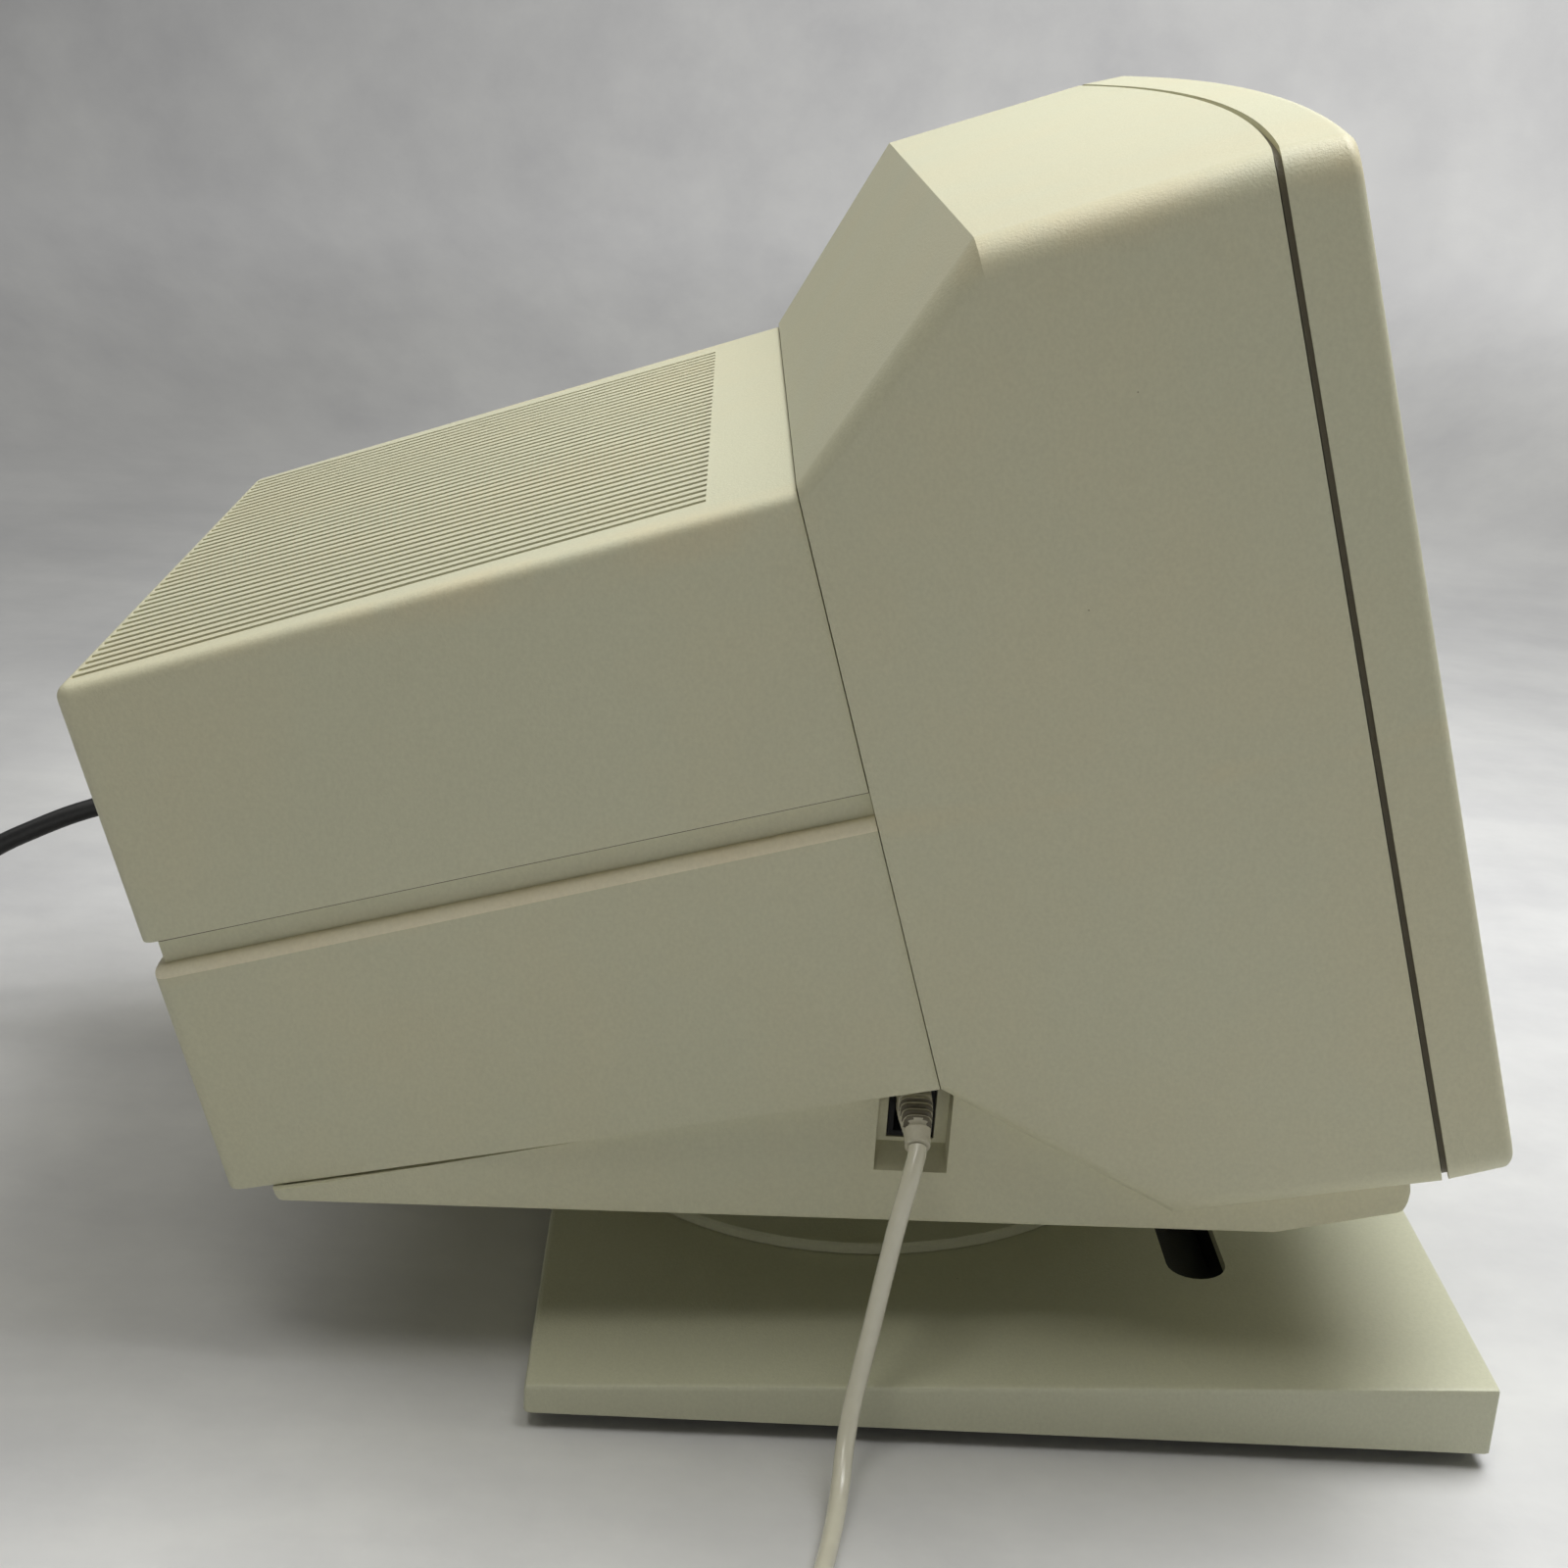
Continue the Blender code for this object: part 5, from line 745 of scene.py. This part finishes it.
# Plate and its slot
FOOT_HIGH = 0.005
PLATE_REAR = 0.0974
PLATE_FRONT = 0.1682
PLATE_HALF = 0.160
PLATE_REAR_HIGH = 0.0085
PLATE_FRONT_HIGH = 0.0204
PLATE_RISE = (PLATE_FRONT_HIGH - PLATE_REAR_HIGH) / (PLATE_REAR + PLATE_FRONT)
SLOT_CENTRE = 0.0963
SLOT_WIDE = 0.0175
SLOT_HALF = 0.103
UNDER_SHARE = 0.8
TROUGH_WALL = 0.001
TROUGH_HIGH = 0.0145
# Stations of the boot in the jack's frame: x, z, half width, half height and how square the ring is
BOOT_SHAPE = ((-0.1145, 0.0036, 0.0044, 0.0048, 6), (-0.1284, 0.0036, 0.0044, 0.0048, 6),
              (-0.1290, 0.0038, 0.0047, 0.0044, 5), (-0.1375, 0.0040, 0.0046, 0.0042, 4),
              (-0.1440, 0.0026, 0.0038, 0.0036, 3), (-0.1462, 0.0013, 0.0035, 0.0034, 2.6),
              (-0.1488, -0.0002, 0.0034, 0.0034, 2.3))
BOOT_RINGS = 140
BOOT_SIDES = 32
BOOT_STEP = 0.001
BOOT_RIBS = (0.0200, 0.0305)
BOOT_RIB_COUNT = 5
BOOT_RIB_DEEP = 0.0013
GROOVE_POWER = 0.7
# Groove depth share above which the boot's grooves get painted shade with grime
GROOVE_SHADE_FROM = 0.35
# Faces that meet at less than this are merged
FLAT_ANGLE = math.radians(0.6)
# Pieces that keep the source's shape, with the width of their rounded edges
SOFTENED = {"base_pan": 0.0010, "base_plate": 0.0012, "turntable": 0.0012, "power_inlet": 0.0006,
            "power_switch": 0.0006, "power_button": 0.0006, "mains_plug": 0.0012, "power_plug": 0.0012,
            "power_relief": 0.0006, "keyboard_far_plug": 0.0005, "host_port": 0.0003, "printer_port": 0.0003}


def between(pair, y):
    return pair[0] + (pair[1] - pair[0]) * y / BOX_LENGTH


def cover_top(y):
    return between(COVER_HIGH, y)


def shell_low(y):
    return -between(SHELL_LOW, y)


def bulge(x, half, height):
    radius = (half * half + height * height) / (2 * height)
    return math.sqrt(radius * radius - min(abs(x), half) ** 2) - (radius - height)


def quarter_turns():
    return [math.pi / 2 * k / ROUND_STEPS for k in range(ROUND_STEPS + 1)]


def rounded(half_top, half_low, low, high, radius):
    """Points (x, z) round a rectangle with round corners, from the lower right, in a fixed count."""
    centres = ((half_low - radius, low + radius, 270), (half_top - radius, high - radius, 0),
               (radius - half_top, high - radius, 90), (radius - half_low, low + radius, 180))
    arcs = []
    for x, z, start in centres:
        turns = [math.radians(start + 90 * k / ROUND_STEPS) for k in range(ROUND_STEPS + 1)]
        arcs.append([(x + radius * math.cos(t), z + radius * math.sin(t)) for t in turns])
    points = []
    for k, arc in enumerate(arcs):
        points += arc
        follow = arcs[(k + 1) % 4][0]
        steps = RING_DOWN if k % 2 == 0 else RING_ACROSS
        for s in range(1, steps):
            points.append(tuple(a + (b - a) * s / steps for a, b in zip(arc[-1], follow)))
    return points


def cutter_boxes(name, boxes, turn=Matrix.Identity(4)):
    """Boxes, each a size and a centre, as one mesh that is moved by a matrix."""
    bm = bmesh.new()
    for size, centre in boxes:
        place = turn @ Matrix.Translation(centre) @ Matrix.Diagonal((*size, 1))
        bmesh.ops.create_cube(bm, size=1, matrix=place)
    return mesh_object(name, bm)


def round_bar(name, radius, low, high, x, z, sides=24):
    """A round bar along Y in the display's frame."""
    bm = bmesh.new()
    place = Matrix.Translation((x, (low + high) / 2, z)) @ Matrix.Rotation(-math.pi / 2, 4, "X")
    bmesh.ops.create_cone(bm, cap_ends=True, segments=sides, radius1=radius, radius2=radius, depth=high - low,
                          matrix=place)
    return mesh_object(name, bm)


def apply_all(obj, place=Matrix.Identity(4)):
    """Applies an object's modifiers and then a change of place to its mesh."""
    bpy.context.view_layer.update()
    graph = bpy.context.evaluated_depsgraph_get()
    mesh = bpy.data.meshes.new_from_object(obj.evaluated_get(graph))
    mesh.transform(place)
    obj.modifiers.clear()
    old = obj.data
    obj.data = mesh
    bpy.data.meshes.remove(old)


def boolean(obj, others, operation):
    for other in others:
        modifier = obj.modifiers.new(operation.lower(), "BOOLEAN")
        modifier.operation = operation
        modifier.object = other
        modifier.solver = "EXACT"


def finish_piece(obj, node, width, angle, segments=3, others=(), place=DISPLAY, smooth=34):
    """Rounds the sharp edges, puts the piece in its place, and lets it stand for its node."""
    edge = obj.modifiers.new("edge", "BEVEL")
    edge.width = width
    edge.segments = segments
    edge.limit_method = "ANGLE"
    edge.angle_limit = math.radians(angle)
    apply_all(obj, place)
    for other in others:
        bpy.data.objects.remove(other, do_unlink=True)
    obj.data.materials.clear()
    obj.data.materials.append(NODES[node].data.materials[0])
    obj.data.shade_smooth()
    obj.data.set_sharp_from_angle(angle=math.radians(smooth))
    weights = obj.modifiers.new("normals", "WEIGHTED_NORMAL")
    weights.keep_sharp = True
    apply_all(obj)
    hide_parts(node)
    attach(obj, RIDES[node])
    return obj


def second_finish(obj, finish, chosen):
    """Gives the faces whose centres are chosen a second finish."""
    obj.data.materials.append(finish)
    for face in obj.data.polygons:
        if chosen(face.center):
            face.material_index = len(obj.data.materials) - 1


def thicken(obj):
    solid = obj.modifiers.new("wall", "SOLIDIFY")
    solid.thickness = WALL
    solid.offset = -1
    solid.use_even_offset = True


def box_ring(z, inset=0.0):
    """Points round three sides of the box, drawn in by the inset; z is a height or a function of y."""
    radius = max(BOX_CORNER - inset, GAP)
    rear = BOX_LENGTH - inset
    half = between(BOX_HALF, rear) - inset
    right = []
    for k in range(BOX_STEPS):
        y = GAP + (rear - radius - GAP) * k / BOX_STEPS
        right.append((between(BOX_HALF, y) - inset, y))
    for turn in quarter_turns():
        right.append((half - radius * (1 - math.cos(turn)), rear - radius * (1 - math.sin(turn))))
    points = right + [(-x, y) for x, y in right[::-1]]
    return [(x, y, z(y) if callable(z) else z) for x, y in points]


def screw_bores():
    x = BOX_HALF[1] - SCREW_INSET
    return [round_bar(f"bore_{side}", SCREW_RADIUS, BOX_LENGTH - WALL * 3, BOX_LENGTH + WALL * 3, side * x,
                      SCREW_UP, sides=16) for side in (-1, 1)]


def vent_slots(half):
    """Cutters for the slots of the vent panel, side by side over its width."""
    rear = BOX_LENGTH - VENT_REAR_MARGIN
    middle = (VENT_FRONT + rear) / 2
    count = int(half * 2 / VENT_PITCH)
    slope = math.atan2(COVER_HIGH[0] - COVER_HIGH[1], BOX_LENGTH)
    turn = Matrix.Translation((0, middle, cover_top(middle))) @ Matrix.Rotation(-slope, 4, "X")
    size = (VENT_SLOT, rear - VENT_FRONT, VENT_DEEP * 2)
    boxes = [(size, ((i - (count - 1) / 2) * VENT_PITCH, 0, 0)) for i in range(count)]
    return cutter_boxes("slots", boxes, turn)


def upper_cover():
    rings = [box_ring(0)]
    for turn in quarter_turns():
        drop = BOX_EDGE * (1 - math.sin(turn))
        rings.append(box_ring(lambda y: cover_top(y) - drop, BOX_EDGE * (1 - math.cos(turn))))
    cover = loft("cover", rings, closed=False, last=True)
    thicken(cover)
    half = BOX_HALF[1] - VENT_SIDE_MARGIN
    cutters = [vent_slots(half), *screw_bores()]
    boolean(cover, cutters, "DIFFERENCE")
    finish_piece(cover, "upper_cover", width=0.0005, angle=40, segments=2, others=cutters)

    def in_slot(centre):
        place = TO_DISPLAY @ centre
        top = cover_top(place.y)
        return abs(place.x) < half and top - WALL < place.z < top - VENT_DEEP * DUST_AND_SHADE_FROM

    # The slot bottoms get dust with painted shade
    second_finish(cover, DUST_AND_SHADE, in_slot)


def lower_shell():
    rings = [box_ring(shell_low)]
    for turn in quarter_turns():
        z = -PARTING - SHELL_EDGE * (1 - math.sin(turn))
        rings.append(box_ring(z, SHELL_EDGE * (1 - math.cos(turn))))
    for z in (-PARTING, -GROOVE_SHADE_AND_DIRT, LIP_HIGH):
        rings.append(box_ring(z, LIP_INSET))
    shell = loft("shell", rings, closed=False, first=True)
    thicken(shell)
    holes = [(size, (x, BOX_LENGTH, z)) for size, x, z in REAR_HOLES]
    cutters = [cutter_boxes("rear_holes", holes), *screw_bores()]
    boolean(shell, cutters, "DIFFERENCE")
    finish_piece(shell, "lower_shell", width=0.0006, angle=30, segments=2, others=cutters)
    # The rounded ledge under the groove gets aged tan with a painted highlight
    second_finish(shell, AGED_LEDGE_HIGHLIGHT, lambda centre: -SHELL_EDGE < (TO_DISPLAY @ centre).z + PARTING < GAP)
    # The groove's lip, from just under the cover's edge up, gets painted shade with grime
    second_finish(shell, SHADE_AND_GRIME, lambda centre: -GROOVE_SHADE_AND_DIRT < (TO_DISPLAY @ centre).z < LIP_HIGH - GAP)


def ring_at(y, half_top, half_low, low, high, corner, arc=0.0):
    """A ring of the housing whose middle stands forward by an arc."""
    ring = rounded(half_top, half_low, low, high, corner)
    return [(x, y - (bulge(x, COLLAR_HALF, arc) if arc else 0), z) for x, z in ring]


def front_collar():
    inset = WALL + TONGUE_GAP
    low, high, half = shell_low(0), cover_top(0), BOX_HALF[0]
    deep = between(BOX_HALF, TONGUE) - inset
    proud = COLLAR_PROUD
    back = (deep, deep, shell_low(TONGUE) + inset, cover_top(TONGUE) - inset, BOX_CORNER / 2)
    inner = (half - inset, half - inset, low + inset, high - inset, BOX_CORNER / 2)
    outer = (half + proud, half + proud, low - proud, high + proud, BOX_CORNER)
    shoulder = (COLLAR_HALF, COLLAR_HALF_LOW, -COLLAR_BOTTOM - proud, COLLAR_TOP, COLLAR_CORNER)
    seam = (COLLAR_HALF, COLLAR_HALF, -COLLAR_BOTTOM, COLLAR_TOP + TOP_RISE, COLLAR_CORNER)
    rings = [ring_at(TONGUE, *back), ring_at(0, *inner), ring_at(0, *outer)]
    for k in range(COLLAR_STEPS + 1):
        share = k / COLLAR_STEPS
        shape = [a + (b - a) * share for a, b in zip(shoulder, seam)]
        y = -COLLAR_SHOULDER + (COLLAR_SHOULDER - SEAM_SIDE) * share
        rings.append(ring_at(y, *shape, max(SEAM_BULGE * share, LEAST_BULGE)))
    collar = loft("collar", rings)
    thicken(collar)
    notch_top = LIP_HIGH + NOTCH_ROOM
    notch_low = -PARTING - WALL * 2 - NOTCH_ROOM
    notch_size = (COLLAR_HALF * 2, TONGUE * 2, notch_top - notch_low)
    notch = cutter_boxes("notch", [(notch_size, (0, TONGUE + GAP, (notch_top + notch_low) / 2))])
    boolean(collar, [notch], "DIFFERENCE")
    finish_piece(collar, "front_collar", width=0.0011, angle=22, others=[notch])


def tube_face(x, z):
    return -TUBE_FACE + x * x / (2 * FACE_RADIUS[0]) + (z - SCREEN_UP) ** 2 / (2 * FACE_RADIUS[1])


def open_face(bm):
    """Takes the tube's old face away and divides the edges round the opening."""
    old = []
    for face in bm.faces:
        centre = face.calc_center_median()
        if face.normal.y < FACE_NORMAL and abs(centre.y - tube_face(centre.x, centre.z)) < FACE_REACH:
            old.append(face)
    bmesh.ops.delete(bm, geom=old, context="FACES")
    for edge in [edge for edge in bm.edges if edge.is_boundary]:
        cuts = int(edge.calc_length() / FACE_STEP)
        if cuts:
            bmesh.ops.subdivide_edges(bm, edges=[edge], cuts=cuts)


def rim_of(bm):
    """The points round the opening, in order."""
    ends = {}
    for edge in bm.edges:
        if edge.is_boundary:
            for vert in edge.verts:
                ends.setdefault(vert, []).append(edge.other_vert(vert))
    start = next(iter(ends))
    rim = [start, ends[start][0]]
    while True:
        follow = [vert for vert in ends[rim[-1]] if vert is not rim[-2]][0]
        if follow is start:
            return rim
        rim.append(follow)


def screen_glass():
    """The picture tube with its face drawn again on rings, so that the glass reflects smoothly."""
    bm = bmesh.new()
    bm.from_mesh(NODES["picture_tube"].data)
    bmesh.ops.transform(bm, matrix=TO_DISPLAY, verts=bm.verts)
    bmesh.ops.remove_doubles(bm, verts=bm.verts, dist=SAME_PLACE)
    bm.normal_update()
    open_face(bm)
    rim = rim_of(bm)
    count = len(rim)
    outer = rim
    for k in range(1, FACE_RINGS):
        share = 1 - k / FACE_RINGS
        inner = []
        for vert in rim:
            x, z = vert.co.x * share, SCREEN_UP + (vert.co.z - SCREEN_UP) * share
            edge_step = (vert.co.y - tube_face(vert.co.x, vert.co.z)) * share ** 2
            inner.append(bm.verts.new((x, tube_face(x, z) + edge_step, z)))
        for i in range(count):
            j = (i + 1) % count
            bm.faces.new((outer[i], outer[j], inner[j], inner[i]))
        outer = inner
    middle = bm.verts.new((0, tube_face(0, SCREEN_UP), SCREEN_UP))
    for i in range(count):
        bm.faces.new((outer[i], outer[(i + 1) % count], middle))
    bmesh.ops.recalc_face_normals(bm, faces=bm.faces)
    finish_piece(mesh_object("screen_glass", bm), "picture_tube", width=0.0005, angle=30)


def front_face(x):
    return -FRONT_SIDE - bulge(x, COLLAR_HALF, FRONT_BULGE)


def seam_ring(y, step, narrow=0.0, under=None):
    """A ring of the bezel at the seam, drawn in by a step, narrower below or with its own step under."""
    low = -COLLAR_BOTTOM + (step if under is None else under)
    return ring_at(y, COLLAR_HALF - step, COLLAR_HALF - step - narrow, low, COLLAR_TOP + TOP_RISE - step,
                   COLLAR_CORNER - step / 2, SEAM_BULGE)


def front_rounding():
    """Rings round the bezel's front edge, which is rounder above and below than at the sides."""
    sharp, drawn = [rounded(COLLAR_HALF - step, COLLAR_HALF - step, -COLLAR_BOTTOM + step,
                            COLLAR_TOP + TOP_RISE - FRONT_LOWER - step, COLLAR_CORNER - step / 2)
                    for step in (0, FRONT_ROUND)]
    rings = []
    for turn in quarter_turns():
        ring = []
        for (x, z), (x_in, z_in) in zip(sharp, drawn):
            side = min(max((COLLAR_HALF - abs(x)) / COLLAR_CORNER, 0), 1)
            radius = SIDE_ROUND + (FRONT_ROUND - SIDE_ROUND) * side
            share = radius / FRONT_ROUND * (1 - math.cos(turn))
            x, z = x + (x_in - x) * share, z + (z_in - z) * share
            ring.append((x, front_face(x) + radius * (1 - math.sin(turn)), z))
        rings.append(ring)
    return rings


def bezel_surface():
    """From the tongue behind the seam round the front and down the slope to the tube's face."""
    seam = SEAM_SIDE + SEAM_WIDE
    inset = WALL + TONGUE_GAP
    taper = (COLLAR_HALF - COLLAR_HALF_LOW) / (SEAM_SIDE - COLLAR_SHOULDER)
    rings = [seam_ring(-seam + TONGUE, inset, TONGUE * taper),
             seam_ring(-seam + SEAM_WIDE - GAP, inset),
             seam_ring(-seam + SEAM_WIDE - GAP, SEAM_DEEP, under=SEAM_DEEP_UNDER),
             seam_ring(-seam, SEAM_DEEP, under=SEAM_DEEP_UNDER),
             seam_ring(-seam, 0),
             *front_rounding()]
    wide, high = OPENING_HALF
    opening = rounded(wide, wide, SCREEN_UP - high, SCREEN_UP + high, OPENING_CORNER)
    rings.append([(x, front_face(x), z) for x, z in opening])
    wide, high = wide - OPENING_SLOPE, high - OPENING_SLOPE
    throat = rounded(wide, wide, SCREEN_UP - high, SCREEN_UP + high, OPENING_CORNER)
    rings.append([(x, tube_face(x, z) - WALL * THROAT_SHARE, z) for x, z in throat])
    return loft("front_frame", rings)


def bezel():
    frame_piece = bezel_surface()
    thicken(frame_piece)
    bosses = [round_bar(f"boss_{side}_{up}", BOSS_RADIUS, front_face(BOSS_X) + WALL / 2, BOSS_END,
                        side * BOSS_X, SCREEN_UP + up * BOSS_Z) for side in (-1, 1) for up in (-1, 1)]
    boolean(frame_piece, bosses, "UNION")
    wheel_size = (WHEEL_SIZE[0], WALL * 4, WHEEL_SIZE[1])
    holes = [cutter_boxes(f"wheel_{x:.3f}", [(wheel_size, (x, front_face(x), BAR_UP))]) for x in WHEEL_X]
    face = front_face(LAMP_X)
    holes.append(round_bar("lamp_hole", LAMP_RADIUS + GAP, face - WALL * 2, face + WALL * 2, LAMP_X, BAR_UP))
    boolean(frame_piece, holes, "DIFFERENCE")
    finish_piece(frame_piece, "bezel", width=0.0008, angle=26, others=[*bosses, *holes])

    def in_seam(centre):
        place = TO_DISPLAY @ centre
        edge = -SEAM_SIDE - SEAM_WIDE - bulge(place.x, COLLAR_HALF, SEAM_BULGE)
        return place.y > edge + SEAM_MARGIN

    # The seam's faces behind the bezel's rear edge get painted shade with grime
    second_finish(frame_piece, SHADE_AND_GRIME, in_seam)


def super_ring(centre, along, wide, high, power):
    """A rounded box ring about a centre, square to a direction in the XZ plane."""
    across = Vector((0, 1, 0))
    up = along.cross(across).normalized()
    ring = []
    for k in range(BOOT_SIDES):
        turn = 2 * math.pi * k / BOOT_SIDES
        c, s = math.cos(turn), math.sin(turn)
        x = math.copysign(abs(c) ** (2 / power), c)
        z = math.copysign(abs(s) ** (2 / power), s)
        ring.append(centre + across * wide * x + up * high * z)
    return ring


def groove_share(s):
    """How deep the boot's grooves are at a distance along it, from 0 to 1."""
    share = (s - BOOT_RIBS[0]) / (BOOT_RIBS[1] - BOOT_RIBS[0])
    if not 0 < share < 1:
        return 0.0
    return max(0.0, math.sin(math.pi * share * (2 * BOOT_RIB_COUNT - 1)))


def keyboard_boot():
    """The moulded boot: a smooth taper, ribbed in its middle stretch, with a nearly round end."""
    stations = np.array(BOOT_SHAPE)
    reach = np.concatenate([[0], np.cumsum(np.hypot(np.diff(stations[:, 0]), np.diff(stations[:, 1])))])

    def at(s):
        return [np.interp(s, reach, stations[:, k]) for k in range(5)]

    rings = []
    for s in np.linspace(0, reach[-1], BOOT_RINGS):
        x, z, wide, high, power = at(s)
        groove = BOOT_RIB_DEEP * groove_share(s) ** GROOVE_POWER
        before, after = at(s - BOOT_STEP), at(s + BOOT_STEP)
        along = Vector((after[0] - before[0], 0, after[1] - before[1])).normalized()
        rings.append(super_ring(Vector((x, 0, z)), along, wide - groove, high - groove, power))
    boot = loft("keyboard_boot", rings, first=True, last=True)
    finish_piece(boot, "keyboard_plug", width=0.0003, angle=50, segments=2, place=JACK, smooth=55)

    def in_groove(centre):
        s = np.interp(-(TO_JACK @ centre).x, -stations[:, 0], reach)
        return groove_share(s) > GROOVE_SHADE_FROM

    # The boot's deeper grooves get painted shade with grime
    second_finish(boot, SHADE_AND_GRIME, in_groove)


def plate_interior(centre):
    top = FOOT_HIGH + PLATE_REAR_HIGH + (PLATE_REAR + CENTRE_SHIFT - centre.y) * PLATE_RISE
    from_middle = abs(centre.y - CENTRE_SHIFT - (PLATE_REAR - PLATE_FRONT) / 2)
    return (centre.z < top - WALL * UNDER_SHARE and abs(centre.x) < PLATE_HALF - WALL / 2
            and from_middle < (PLATE_REAR + PLATE_FRONT - WALL) / 2)


def slot_trough(plate):
    """Closes the slot of the plate below with a shallow trough, whose faces take the painted shade of the
    plate's inside and so make the slot black.
    """
    middle = CENTRE_SHIFT - SLOT_CENTRE
    low, high = FOOT_HIGH + TROUGH_WALL / 2, FOOT_HIGH + TROUGH_HIGH
    wide = SLOT_WIDE + TROUGH_WALL * 4
    boxes = [((SLOT_HALF * 2, wide, TROUGH_WALL), (0, middle, low + TROUGH_WALL / 2))]
    for side in (-1, 1):
        along, end = (SLOT_HALF * 2, TROUGH_WALL, high - low), (TROUGH_WALL, wide, high - low)
        boxes.append((along, (0, middle + side * wide / 2, (low + high) / 2)))
        boxes.append((end, (side * SLOT_HALF, middle, (low + high) / 2)))
    trough = cutter_boxes("trough", boxes)
    bm = bmesh.new()
    bm.from_mesh(plate.data)
    bm.from_mesh(trough.data)
    bm.to_mesh(plate.data)
    bm.free()
    bpy.data.objects.remove(trough, do_unlink=True)


def softened(node, width):
    """A copy of a node with its flat faces merged and its edges rounded."""
    bm = bmesh.new()
    bm.from_mesh(NODES[node].data)
    bmesh.ops.remove_doubles(bm, verts=bm.verts, dist=SAME_PLACE)
    bmesh.ops.dissolve_limit(bm, angle_limit=FLAT_ANGLE, verts=bm.verts, edges=bm.edges)
    soft = mesh_object(f"{node}_soft", bm)
    return finish_piece(soft, node, width, angle=30, place=Matrix.Identity(4))


# The scene
make_camera()
paint_nodes()
upper_cover()
lower_shell()
front_collar()
bezel()
screen_glass()
keyboard_boot()
SOFT = {node: softened(node, width) for node, width in SOFTENED.items()}
slot_trough(SOFT["base_plate"])
# The plate's inside faces, the trough's too, are painted near black as shade
second_finish(SOFT["base_plate"], PAINTED_INSIDE_SHADE, plate_interior)
keyboard_lead()
mains_lead()
make_floor()
make_light()

scene = bpy.context.scene
scene.view_settings.view_transform = "Standard"
